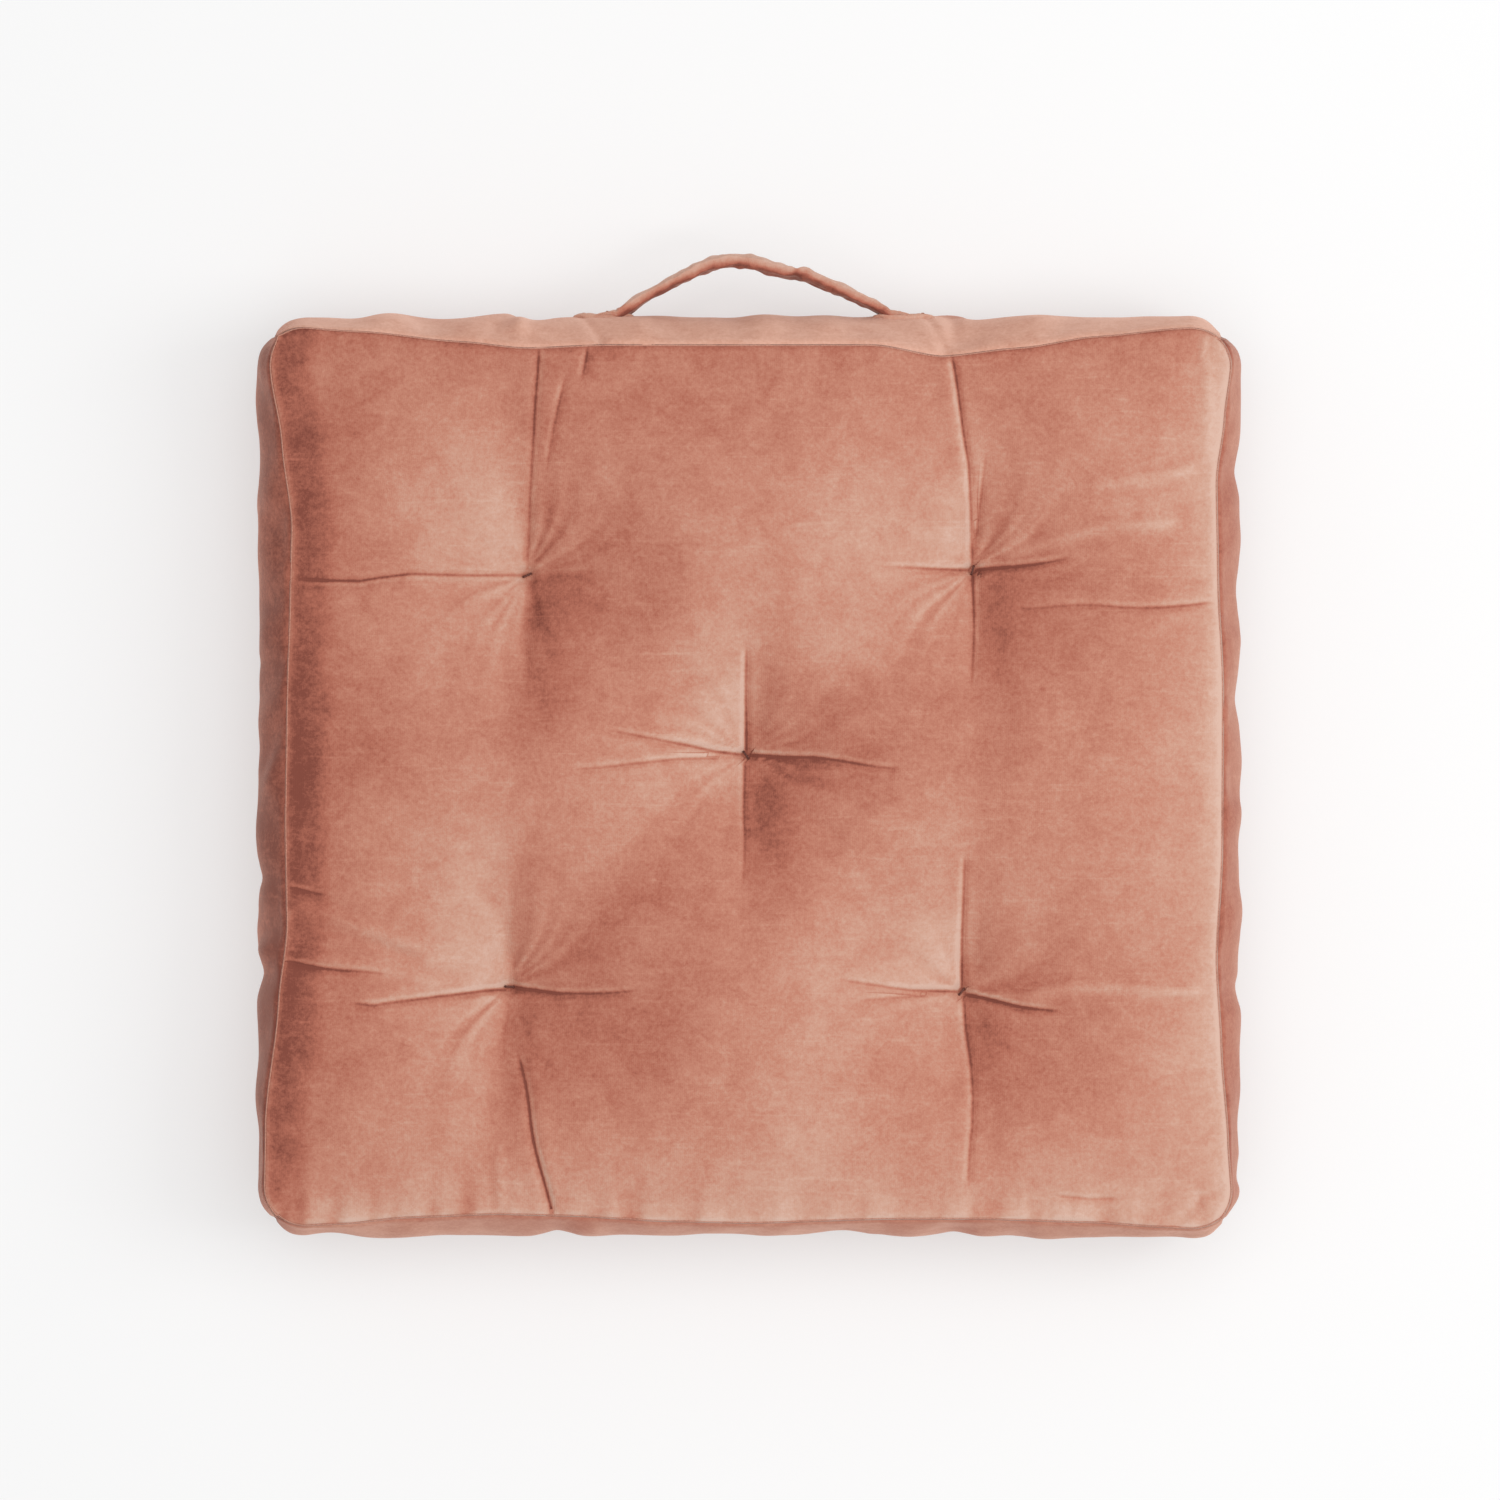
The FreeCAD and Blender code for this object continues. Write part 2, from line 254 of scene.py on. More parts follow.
# ------------------------------------------------------------------ cloth simulation
def stretch_to_tufts(grid, floor_z, reach):
    """Grid pulled towards floor_z at each tuft: the nearest grid point takes the tuft's place,
    its neighbours follow with a bell of the given reach."""
    picks = []
    out = grid.copy()
    for name in TUFT_NAMES:
        place = TUFTS[name]
        off = np.hypot(grid[..., 0] - place[0], grid[..., 1] - place[1])
        i, j = np.unravel_index(np.argmin(off), off.shape)
        far = np.hypot(grid[..., 0] - grid[i, j, 0], grid[..., 1] - grid[i, j, 1])
        pull = np.exp(-((far / reach) ** 2))
        shift = place - grid[i, j, :2]
        out[..., 0] += shift[0] * pull
        out[..., 1] += shift[1] * pull
        out[..., 2] += (floor_z - grid[..., 2]) * np.exp(-(far / reach) * 1.6)
        picks.append((i, j))
    return out, picks


def start_shape():
    """The unfilled cover: two faces pulled to their tufts and a ring of side cloth.

    Returns its points, its quads, the pinned point numbers and the number grids of the top
    face, the bottom face and the ring, whose rows run from the top seam to the bottom seam.
    """
    top, top_picks = stretch_to_tufts(face_grid(TOP_INSETS, TOP_SEAM_Z), TOP_TUFT_Z, 0.05)
    bottom, bottom_picks = stretch_to_tufts(
        face_grid(BOTTOM_INSETS, BOTTOM_SEAM_Z), BOTTOM_TUFT_Z, 0.035
    )
    count = (CELLS_X + 1) * (CELLS_Y + 1)
    top_ids = np.arange(count).reshape(CELLS_X + 1, CELLS_Y + 1)
    bottom_ids = top_ids + count
    edge = [top_ids[:-1, 0], top_ids[-1, :-1], top_ids[:0:-1, -1], top_ids[0, :0:-1]]
    rim = np.concatenate(edge)
    points = np.concatenate([top.reshape(-1, 3), bottom.reshape(-1, 3)])
    rows = np.linspace(0, 1, CELLS_Z + 1)[1:-1]
    upper, lower = points[rim], points[rim + count]
    between = upper[None] + (lower - upper)[None] * rows[:, None, None]
    ring = np.empty((CELLS_Z + 1, len(rim)), int)
    ring[0], ring[-1] = rim, rim + count
    ring[1:-1] = np.arange((CELLS_Z - 1) * len(rim)).reshape(-1, len(rim)) + 2 * count
    points = np.concatenate([points, between.reshape(-1, 3)])

    def quads(ids, wrap=False):
        if wrap:
            ids = np.concatenate([ids, ids[:, :1]], axis=1)
        a, b, c, d = ids[:-1, :-1], ids[1:, :-1], ids[1:, 1:], ids[:-1, 1:]
        return np.stack([a, b, c, d], axis=-1).reshape(-1, 4)

    faces = np.concatenate([quads(top_ids), quads(bottom_ids)[:, ::-1], quads(ring, wrap=True)])
    pins = [top_ids[p] for p in top_picks] + [bottom_ids[p] for p in bottom_picks]
    pins = np.concatenate([np.array(pins), rim, rim + count])
    return points, faces, pins, top_ids, bottom_ids, ring


def fill_cover(points, faces, pins):
    """Blow the cover up against its seams and tufts with Blender's cloth, and return its points.

    The cloth is cut a little full, so that the surplus gathers in folds round the tufts.
    """
    mesh = bpy.data.meshes.new("cover_to_fill")
    mesh.from_pydata(points.tolist(), [], faces.tolist())
    cover = bpy.data.objects.new("cover_to_fill", mesh)
    bpy.context.scene.collection.objects.link(cover)
    group = cover.vertex_groups.new(name="sewn")
    group.add(pins.tolist(), 1.0, "REPLACE")
    cloth = cover.modifiers.new("Cloth", "CLOTH")
    settings = {
        "quality": 6, "mass": 0.25, "air_damping": 2,
        "tension_stiffness": 25, "compression_stiffness": 25, "shear_stiffness": 12,
        "bending_stiffness": 2.5, "tension_damping": 8, "compression_damping": 8,
        "shear_damping": 8, "bending_damping": 1.0, "vertex_group_mass": "sewn",
        "pin_stiffness": 1.0, "use_pressure": True, "uniform_pressure_force": PRESSURE,
        "shrink_min": -FULLNESS,
    }
    for key, value in settings.items():
        setattr(cloth.settings, key, value)
    cloth.settings.effector_weights.gravity = 0
    cloth.point_cache.frame_start = 1
    cloth.point_cache.frame_end = SIM_FRAMES
    scene = bpy.context.scene
    for step in range(1, SIM_FRAMES + 1):
        scene.frame_set(step)
    seen = cover.evaluated_get(bpy.context.evaluated_depsgraph_get())
    filled = np.empty(len(points) * 3)
    seen.data.vertices.foreach_get("co", filled)
    scene.frame_set(1)
    bpy.data.objects.remove(cover)
    bpy.data.meshes.remove(mesh)
    return filled.reshape(-1, 3)


# ------------------------------------------------------------------ folds and creases
# Each crease: tuft it starts from, (right, back) points in mm from that tuft, depth in mm at its
# start and end, half width in mm, and the height of the lip beside it. The lip, with a painted
# highlight, lies on its left-hand side, or on its right-hand side when the lip is negative, and
# painted shade lies on its other side. A negative depth is a ridge, and one 5 mm wide or more is
# soft, without the sharp line of painted shadow along it.
CREASES = [
    ("back_left", [(0, 0), (0.6, 46), (4.9, 88), (6.7, 138)], 0.5, 1.7, 3.0, -0.5),
    ("back_left", [(12, 65), (23, 119)], 0.5, 1.0, 3.5, 0.4),
    ("back_left", [(33.6, 120), (36.6, 140)], 0.8, 1.6, 4.0, 0.5),
    ("back_left", [(0, 0), (-70, 0), (-101, -5), (-141, -2)], 1.3, 1.7, 3.5, 1.2),
    ("back_left", [(0, 0), (-62, 44)], 1.2, 0.2, 6.0, 0.0),
    ("back_left", [(0, 0), (0, -70)], 2.2, 0.3, 5.0, 0.6),
    ("back_left", [(0, 0), (64, -2)], 2.0, 0.2, 5.0, 0.4),
    ("back_right", [(0, 0), (-2.4, 62), (-10, 110), (-13.4, 131)], 1.4, 2.0, 3.0, 1.8),
    ("back_right", [(1.2, 15), (8.5, 70)], 1.2, 0.4, 3.0, 0.7),
    ("back_right", [(0, 0), (60, 7)], 2.2, 0.8, 3.0, 1.0),
    ("back_right", [(16, 10), (60, 21), (85, 27), (124, 31)], -0.9, -1.6, 5.0, 0.0),
    ("back_right", [(30, -22), (90, -23), (145, -21)], 0.4, 1.5, 3.5, 0.7),
    ("back_right", [(70, 51), (105, 56), (137, 64)], -0.7, -1.3, 5.0, 0.0),
    ("back_right", [(141, 146), (142, 100), (141, 66)], -1.2, -0.8, 5.0, 0.0),
    ("back_right", [(0, 0), (-57, 2)], 2.4, 0.3, 3.0, -0.8),
    ("back_right", [(0, 0), (0, -73)], 2.4, 0.4, 3.2, 1.0),
    ("centre", [(0, 0), (0, 67)], 2.8, 0.9, 2.4, 1.4),
    ("centre", [(-0.6, -2), (-0.6, -46), (-2, -80)], 1.6, 0.3, 3.0, -1.2),
    ("centre", [(0, 0), (-20, 2), (-52, 9), (-84, 16)], 2.4, 0.5, 2.8, -0.8),
    ("centre", [(-16, -2.0), (-40, -2.5), (-70, -5), (-106, -9)], 1.6, 0.5, 3.0, -1.0),
    ("centre", [(0, 0), (40, -1), (70, -5), (93, -8)], 2.4, 0.7, 3.0, 1.0),
    ("centre", [(-8, -10), (-62, -66)], 0.9, 0.2, 7.0, 0.0),
    ("centre", [(12, -15), (64, -59)], 1.0, 0.3, 6.0, 0.5),
    ("front_left", [(0, -1), (-43, -5), (-83, -12), (-95, -10)], 2.4, 1.0, 3.0, -1.2),
    ("front_left", [(-134, 16), (-100, 10), (-73, 7)], 2.4, 0.5, 3.2, 1.0),
    ("front_left", [(-133, 62), (-109, 57)], 1.6, 0.4, 3.0, 0.6),
    ("front_left", [(-113, 42), (-53, 16)], 0.8, 0.6, 6.0, 0.4),
    ("front_left", [(0, 0), (28, -4), (79, -2)], 2.4, 0.5, 3.0, 0.9),
    ("front_left", [(6, -42), (14, -85), (26, -141)], 1.0, 4.2, 3.0, 1.2),
    ("front_left", [(-4, -98), (-4, -135)], -0.6, -1.6, 4.5, 0.0),
    ("front_left", [(0, 0), (1, 66)], 2.2, 0.3, 5.0, 0.8),
    ("front_right", [(1, -1), (37, -9), (59, -12)], 3.0, 1.2, 2.6, 1.0),
    ("front_right", [(38, 0), (61, 3), (148, 2)], -1.0, -1.8, 4.5, 0.0),
    ("front_right", [(0, 0), (-30, 1), (-75, 7)], 2.2, 0.5, 2.6, -1.0),
    ("front_right", [(-18, -2), (-65, -5)], 1.2, 0.4, 2.6, -0.6),
    ("front_right", [(0, 0), (2, 84)], 2.6, 0.8, 2.6, 1.2),
    ("front_right", [(1, -3), (6, -81), (4, -116)], 1.4, 0.9, 3.2, -1.8),
    ("front_right", [(58, -125), (80, -127), (97, -126)], 1.0, 0.6, 3.0, 0.4),
    ("front_right", [(126, -146), (139, -134), (160, -116)], 2.2, 0.8, 6.0, -1.0),
    ("front_left", [(-140, 46), (-100, 30), (-50, 15)], 1.6, 0.7, 5.0, 1.2),
    ("front_left", [(-128, 30), (-90, 17), (-46, 6)], 1.3, 0.6, 5.0, 1.0),
    ("front_left", [(-124, 60), (-88, 42), (-60, 34)], 1.0, 0.4, 5.0, 0.8),
    ("front_left", [(-130, 53), (-92, 37), (-54, 23)], -0.7, -1.2, 5.0, 0.0),
    ("front_left", [(-128, 23), (-92, 13), (-40, 2)], -0.6, -1.4, 5.0, 0.0),
]


def crease_height(x, y, points, start, end, width, lip):
    """Height that one crease adds to a face, how far towards its pale side each point lies and how
    deep the crease is there, all in mm. The material uses these to paint a shadow line along the
    crease, a highlight on its pale side and shade on its other side. The pale side is its left, or
    its right if lip < 0.

    The distance to its nearest stretch gives a bell-shaped groove. A wider lip stands beside
    it on its pale side, and both fade out near each end.
    """
    best = np.full(x.shape, 1e9)
    side = np.zeros_like(x)
    share = np.zeros_like(x)
    points = np.array(points, float)
    steps = np.diff(points, axis=0)
    lengths = np.linalg.norm(steps, axis=1)
    whole = lengths.sum()
    done = 0.0
    for origin, step, length in zip(points[:-1], steps, lengths):
        t, away = off_segment(x, y, origin, step)
        closer = away < best
        best = np.where(closer, away, best)
        left = (step[0] * (y - origin[1]) - step[1] * (x - origin[0])) / length
        side = np.where(closer, left, side)
        share = np.where(closer, (done + t * length) / whole, share)
        done += length
    depth = start + (end - start) * share
    sway = side + 0.8 * np.sin(share * whole / 9.0)
    narrow = 0.75 * width
    groove = -0.8 * depth * np.exp(-((best / narrow) ** 2))
    flip = -1 if lip < 0 else 1
    beside = 0.4 * abs(lip) * np.exp(-(((flip * sway - 2.2 * width) / (1.7 * width)) ** 2))
    beside *= np.exp(-((np.maximum(best - abs(side), 0) / width) ** 2))
    ends = smoothstep(share * whole / 8 + 0.4) * smoothstep((1 - share) * whole / 10 + 0.25)
    off = np.where(side < 0, -1, 1) * best * flip
    return (groove + beside) * ends, off, np.maximum(depth, 0) * ends * (width < 5)


def tuft_folds(x, y):
    """Soft cross of valleys through every tuft, in mm: each arm is a bell across, deepest a
    little way out from the tuft, and it fades towards the next tuft or the seam."""
    height = np.zeros_like(x)
    for number, name in enumerate(TUFT_NAMES):
        dx = x - TUFTS[name][0] / MM
        dy = y - TUFTS[name][1] / MM
        for arm, (ax, ay) in enumerate(((1, 0), (0, 1), (-1, 0), (0, -1))):
            lean = 0.10 * math.sin(2.1 * number + 1.7 * arm)
            out = dx * ax + dy * ay
            across = dy * ax - dx * ay - lean * out
            width = 10 + 0.13 * np.maximum(out, 0)
            fade = smoothstep(out / 18) * np.exp(-((out / 95) ** 2))
            depth = 5.4 if ax == 0 else 1.6
            height -= depth * fade * np.exp(-((across / width) ** 2))
    return height


def tuft_streaks(x, y):
    """Fine wrinkles that run straight out from every tuft, about 0: seeded sines of the angle
    round the tuft, strongest a finger's width out and gone a hand's width out."""
    total = np.zeros_like(x)
    for number, name in enumerate(TUFT_NAMES):
        rng = np.random.default_rng(300 + number)
        dx, dy = x - TUFTS[name][0] / MM, y - TUFTS[name][1] / MM
        far = np.hypot(dx, dy)
        angle = np.arctan2(dy, dx) + 0.10 * np.sin(far / 17)
        wave = np.zeros_like(x)
        for lobes in (5, 8, 11, 15, 20, 26):
            wave += np.sin(lobes * angle + rng.uniform(0, 6.3)) * rng.uniform(0.4, 1.0)
        patch = 0.55 + 0.45 * np.sin(2 * angle + rng.uniform(0, 6.3))
        sharp = np.tanh(0.8 * wave) * patch
        total += sharp * smoothstep((far - 2) / 10) * np.exp(-((far / 60) ** 2))
    return total


def seam_roll(d):
    """Height in mm of the cloth beside a seam, d mm away: a dip at the thread, then a roll."""
    return 0.3 * np.exp(-(((d - 4.0) / 2.6) ** 2)) - 0.9 * np.exp(-((d / 1.6) ** 2))


def finer(grid, rows_u, rows_v):
    """The same surface on a finer grid."""
    return np.einsum("ia,abk,jb->ijk", rows_u, grid, rows_v)


def edge_distances(grid):
    """Distance in mm from every point to each edge of its grid, measured on the straight."""
    low_u = np.linalg.norm(grid - grid[:1], axis=2) / MM
    high_u = np.linalg.norm(grid - grid[-1:], axis=2) / MM
    low_v = np.linalg.norm(grid - grid[:, :1], axis=2) / MM
    high_v = np.linalg.norm(grid - grid[:, -1:], axis=2) / MM
    return low_u, high_u, low_v, high_v


def gathers(grid, seed):
    """Puckers in mm where cloth is gathered into a seam: ripples along it that die away."""
    low_u, high_u, low_v, high_v = edge_distances(grid)
    x, y, z = (grid[..., k] / MM for k in range(3))
    total = np.zeros_like(x)
    for d, s, extra in ((low_u, y, z), (high_u, y, z), (low_v, x, z), (high_v, x, z)):
        wave = ripple(s + 0.25 * extra, np.zeros_like(s), 26, seed, octaves=3)
        patch = 0.35 + 0.65 * smoothstep(0.5 + ripple(s, np.zeros_like(s), 120, seed + 9, 1))
        total += 0.40 * wave * patch * np.exp(-d / 13)
        seed += 1
    return total


def inset(points, depth_mm):
    """Points moved depth_mm towards the middle of the pad."""
    middle = np.array([0, 0, (TOP_SEAM_Z + BOTTOM_SEAM_Z) / 2])
    return points + unit(middle - points) * depth_mm * MM


def displaced(grid, height_mm, up=1):
    """Grid moved along its own normals by height_mm, up for outwards."""
    return grid + normals_of(grid) * (up * height_mm * MM)[..., None]


def tuft_distance(grid):
    """Distance in mm from every point to its nearest tuft."""
    offs = [np.hypot(grid[..., 0] - x, grid[..., 1] - y) for x, y in TUFTS.values()]
    return np.minimum.reduce(offs) / MM


def calmed(grid, times, keep):
    """Grid whose inner points are moved towards the mean of their four neighbours, over and
    over, by a share that falls to nothing at the tufts within keep mm."""
    out = grid.copy()
    share = 0.5 * smoothstep(tuft_distance(grid) / keep)[1:-1, 1:-1, None]
    for _ in range(times):
        out[1:-1, 1:-1] += share * (neighbour_mean(out) - out[1:-1, 1:-1])
    return out


# Where a crease pulls the outline in: (place along the side, depth, half width), in mm
NOTCHES = {
    "left": [(70, 2.4, 9), (-61, 3.2, 8), (-121, 2.6, 9)],
    "right": [(184, 2.2, 10), (115, 1.6, 9), (47, 1.8, 10), (-132, 2.6, 8), (-246, 3.4, 8)],
    "front": [(-118, 3.0, 9), (60, 1.6, 14), (128, 1.8, 9)],
    "back": [(-130, 2.0, 9), (-40, 0.8, 20), (117, 2.0, 9)],
}


def bowed(coarse, side):
    """Side cloth pushed out to the cushion's outline, less its notches, away from its corners.

    Each column keeps the shape that the filling gave it, blended with half a sine, and is
    scaled so that it is widest on the outline.
    """
    axis = 0 if side in ("left", "right") else 1
    sign = -1 if side in ("left", "front") else 1
    half = HALF_WIDTH if axis == 0 else HALF_DEPTH
    out = coarse.copy()
    run = coarse[0, :, 1 - axis] / MM
    target = np.full(len(run), half + (2.6 if side == "back" else 1.4) * MM)
    for place, depth, width in NOTCHES[side]:
        target -= depth * MM * np.exp(-(((run - place) / width) ** 2))
    target += 0.5 * MM * ripple(run, np.zeros_like(run), 90, 77 + axis, 2)
    v = np.linspace(0, 1, len(coarse))[:, None]
    chord = (1 - v) * coarse[:1, :, axis] + v * coarse[-1:, :, axis]
    bulge = (coarse[..., axis] - chord) * sign
    bulge /= np.maximum(bulge.max(axis=0), 1e-6)
    shape = 0.45 * bulge + 0.55 * np.sin(np.pi * v) ** 0.8
    shape /= shape.max(axis=0)
    need = target - (chord * sign).mean(axis=0)
    full = chord + sign * shape * need
    ends = np.minimum(abs(run - run[0]), abs(run - run[-1]))
    weight = smoothstep(ends / 34)
    round_out = 4.5 * MM * np.sin(np.pi * v) * (1 - weight)
    out[..., axis] = weight * full + (1 - weight) * coarse[..., axis] + sign * round_out
    out[..., 1 - axis] += np.sign(run) * round_out
    return out


CORNER = 0.031  # radius of the cushion's corners in plan


def rounded(grid):
    """Grid with its plan corners rounded.

    In each corner square of side CORNER, with p and q from 0 to 1 across it, a point goes to
    (p, q) max(p, q) / hypot(p, q), which turns the square's edges into a quarter circle.
    """
    out = grid.copy()
    p = np.maximum((np.abs(grid[..., 0]) - HALF_WIDTH + CORNER) / CORNER, 0)
    q = np.maximum((np.abs(grid[..., 1]) - HALF_DEPTH + CORNER) / CORNER, 0)
    less = 1 - np.maximum(p, q) / np.maximum(np.hypot(p, q), 1e-9)
    less[(p == 0) | (q == 0)] = 0
    out[..., 0] -= np.sign(grid[..., 0]) * less * p * CORNER
    out[..., 1] -= np.sign(grid[..., 1]) * less * q * CORNER
    return out


def finished_top(coarse):
    """The top face's cloth: fine grid with tuft folds, creases, gathers and seam roll.

    Also returns the distance to the crease that counts most at each point and its depth, which
    place the material's painted shadow line along creases, and the height of the wrinkles, ridges
    and puckers, from which their tops are painted pale and their hollows deep: painted highlight
    and shade. Every fold dies away at the seam, so that the seam stays closed.
    """
    coarse = calmed(coarse, 30, 75)
    grid = finer(coarse, spline_rows(CELLS_X, FINER), spline_rows(CELLS_Y, FINER))
    x, y = grid[..., 0] / MM, grid[..., 1] / MM
    edge = np.minimum.reduce(edge_distances(grid))
    inner = smoothstep(edge / 12)
    height = tuft_folds(x, y) * inner
    loose = smoothstep(tuft_distance(grid) / 40)
    sway_x = x + 0.9 * loose * ripple(x, y, 100, 81, 2)
    sway_y = y + 0.9 * loose * ripple(x, y, 100, 82, 2)
    count, off, deep = np.zeros_like(x), np.full(x.shape, 20.0), np.zeros_like(x)
    ridges = np.zeros_like(x)
    for tuft, points, start, end, width, lip in CREASES:
        place = TUFTS[tuft] / MM
        more, away, depth = crease_height(
            sway_x - place[0], sway_y - place[1], points, start, end, width, lip
        )
        height += more
        if end < 0:
            ridges += more
        near = depth / (1 + (away / 2) ** 2)
        off = np.where(near > count, away, off)
        deep = np.where(near > count, depth * smoothstep((4.8 - np.abs(away)) / 2), deep)
        count = np.maximum(count, near)
    streaks = tuft_streaks(x, y)
    height += 0.65 * streaks * inner
    height += 0.30 * ripple(x, y, 90, 3, 2) * inner + gathers(grid, 20)
    puckers = ripple(x, np.zeros_like(x), 26, 61, 2) * np.exp(-edge_distances(grid)[2] / 13)
    height += 0.7 * puckers
    height = height * smoothstep(edge / 4) + seam_roll(edge)
    return rounded(displaced(grid, height)), off, deep, streaks + 1.2 * ridges + puckers


def finished_bottom(coarse):
    """The bottom face's cloth, which is flat where the cushion's weight presses it down."""
    coarse = calmed(coarse, 6, 26)
    grid = finer(coarse, spline_rows(CELLS_X, FINER), spline_rows(CELLS_Y, FINER))
    x, y = grid[..., 0] / MM, grid[..., 1] / MM
    edge = np.minimum.reduce(edge_distances(grid))
    inner = smoothstep(edge / 12)
    height = 0.7 * tuft_folds(x, y) * inner + 0.3 * ripple(x, y, 50, 5) * inner
    height += gathers(grid, 40) + 2.0 * smoothstep(edge / 60)
    height = height * smoothstep(edge / 4) + seam_roll(edge)
    grid = displaced(grid, height, up=-1)
    soft = 0.9 * MM
    grid[..., 2] = (grid[..., 2] + np.sqrt(grid[..., 2] ** 2 + soft**2)) / 2
    return rounded(grid)


def finished_side(coarse, side, seed, extra):
    """One side's cloth: rows run down from the top seam, columns along the side. extra gives
    the height in mm at x and z that only this side has, or is None."""
    coarse = bowed(calmed(coarse, 3, 1), side)
    cells = coarse.shape[1] - 1
    grid = finer(coarse, spline_rows(CELLS_Z, FINER_Z), spline_rows(cells, FINER))
    low_u, high_u, low_v, high_v = edge_distances(grid)
    edge = np.minimum.reduce((low_u, high_u, low_v, high_v))
    s = np.broadcast_to(np.linalg.norm(grid[:1] - grid[:1, :1], axis=2) / MM, edge.shape)
    down = low_u
    height = gathers(grid, seed)
    height += 0.9 * ripple(s, 0.4 * down, 64, seed + 5, 2) * smoothstep(edge / 22)
    if extra is not None:
        height += extra(grid[..., 0] / MM, grid[..., 2] / MM)
    height = height * smoothstep(edge / 4) + seam_roll(edge)
    return rounded(displaced(grid, height))


def pull_at_handle(x, z):
    """Height in mm of the back side's cloth round the handle: a peak under each root, and a
    crease from each tab up to the top seam."""
    height = np.zeros_like(x)
    middle_z = HINGE[2] / MM
    for side in (-1, 1):
        root = HINGE[0] / MM + side * 82
        height += 0.8 * np.exp(-((x - root) / 11) ** 2 - ((z - middle_z) / 22) ** 2)
        start = (root + side * 24, middle_z + 6)
        seam = (root + side * (36 if side > 0 else 10), TOP_SEAM_Z / MM)
        step = (seam[0] - start[0], seam[1] - start[1])
        t, away = off_segment(x, z, start, step)
        height -= 1.6 * (0.4 + 0.6 * t) * np.exp(-((away / 3) ** 2))
    return height


# ------------------------------------------------------------------ meshes
def grid_quads(rows, columns, close_rows=False, close_columns=False):
    """Quads of a grid of points, closed round in either direction if asked."""
    i = np.arange(rows if close_rows else rows - 1)
    j = np.arange(columns if close_columns else columns - 1)
    i, j = np.meshgrid(i, j, indexing="ij")
    k, m = (i + 1) % rows, (j + 1) % columns
    a, b = i * columns + j, k * columns + j
    c, d = k * columns + m, i * columns + m
    return np.stack([a, b, c, d], axis=-1).reshape(-1, 4)


def new_piece(name, points, quads, material, slot, uv=None, **values):
    """A mesh piece from arrays, with its material, UV map and one number per point for each
    further name, such as pile."""
    mesh = bpy.data.meshes.new(name)
    mesh.vertices.add(len(points))
    mesh.vertices.foreach_set("co", np.asarray(points, np.float32).ravel())
    mesh.loops.add(quads.size)
    mesh.loops.foreach_set("vertex_index", quads.astype(np.int32).ravel())
    mesh.polygons.add(len(quads))
    mesh.polygons.foreach_set("loop_start", np.arange(0, quads.size, 4, dtype=np.int32))
    mesh.polygons.foreach_set("use_smooth", np.full(len(quads), True))
    mesh.update(calc_edges=True)
    mesh.validate()
    if uv is not None:
        layer = mesh.uv_layers.new(name="cloth")
        layer.data.foreach_set("uv", np.asarray(uv, np.float32)[quads.ravel()].ravel())
    for key, value in values.items():
        layer = mesh.attributes.new(key, "FLOAT", "POINT")
        layer.data.foreach_set("value", np.asarray(value, np.float32).ravel())
    mesh.materials.append(material)
    piece = bpy.data.objects.new(name, mesh)
    bpy.context.scene.collection.objects.link(piece)
    return piece


# The way that the pile leans, and also the side from which the painted light falls: slopes that
# face it are painted paler.
PILE_LAY_AND_PAINTED_LIGHT = np.array([0.75, -0.52, -0.30])  # the way that the pile leans


def pile_lay_and_painted_light(grid, up=1):
    """How far the surface leans along the pile's lay, as it does close by and as it does on
    average a few centimetres round, which is found on the grid before it was made finer. This is
    partly the pile's lay and partly painted light and shade: slopes that face right and to the
    front are painted paler, slopes that face left and back deeper."""
    lean = (normals_of(grid) * up) @ PILE_LAY_AND_PAINTED_LIGHT - PILE_LAY_AND_PAINTED_LIGHT[2] * up
    wide = lean[::FINER, ::FINER].copy()
    for _ in range(4):
        wide[1:-1, 1:-1] = neighbour_mean(wide)
    rows = spline_rows(wide.shape[0] - 1, FINER)
    columns = spline_rows(wide.shape[1] - 1, FINER)
    return 0.6 * rows @ wide @ columns.T + 0.4 * lean


def cloth_piece(name, grid, tone, material, slot, up=1, off=None, deep=None):
    """One panel, with a lip turned in towards the middle of the pad at its seams."""
    lip = np.pad(grid, ((1, 1), (1, 1), (0, 0)), mode="edge")
    turned = np.ones(lip.shape[:2], bool)
    turned[1:-1, 1:-1] = False
    lip[turned] = inset(lip[turned], 4)
    rows, columns = lip.shape[:2]
    steps_u = np.linalg.norm(np.diff(lip, axis=0), axis=2).mean(axis=1)
    steps_v = np.linalg.norm(np.diff(lip, axis=1), axis=2).mean(axis=0)
    u = np.concatenate([[0], np.cumsum(steps_u)])
    v = np.concatenate([[0], np.cumsum(steps_v)])
    uv = np.stack(np.meshgrid(u, v, indexing="ij"), axis=-1).reshape(-1, 2)
    values = {"pile": tone}
    values["crease_off"] = np.full(tone.shape, 20.0) if off is None else off
    values["crease_deep"] = np.zeros(tone.shape) if deep is None else deep
    values = {key: np.pad(value, 1, mode="edge") for key, value in values.items()}
    quads = grid_quads(rows, columns)
    if up < 0:
        quads = quads[:, ::-1]
    piece = new_piece(name, lip.reshape(-1, 3), quads, material, slot, uv, **values)
    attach(piece, "cushion")
    return piece


def frames_along(path, up):
    """Tangent, side and top directions at every point of a path, turned as little as can be
    from the given up direction."""
    tangent = unit(np.gradient(path, axis=0))
    side = unit(np.cross(np.broadcast_to(up, path.shape), tangent))
    return tangent, side, np.cross(tangent, side)


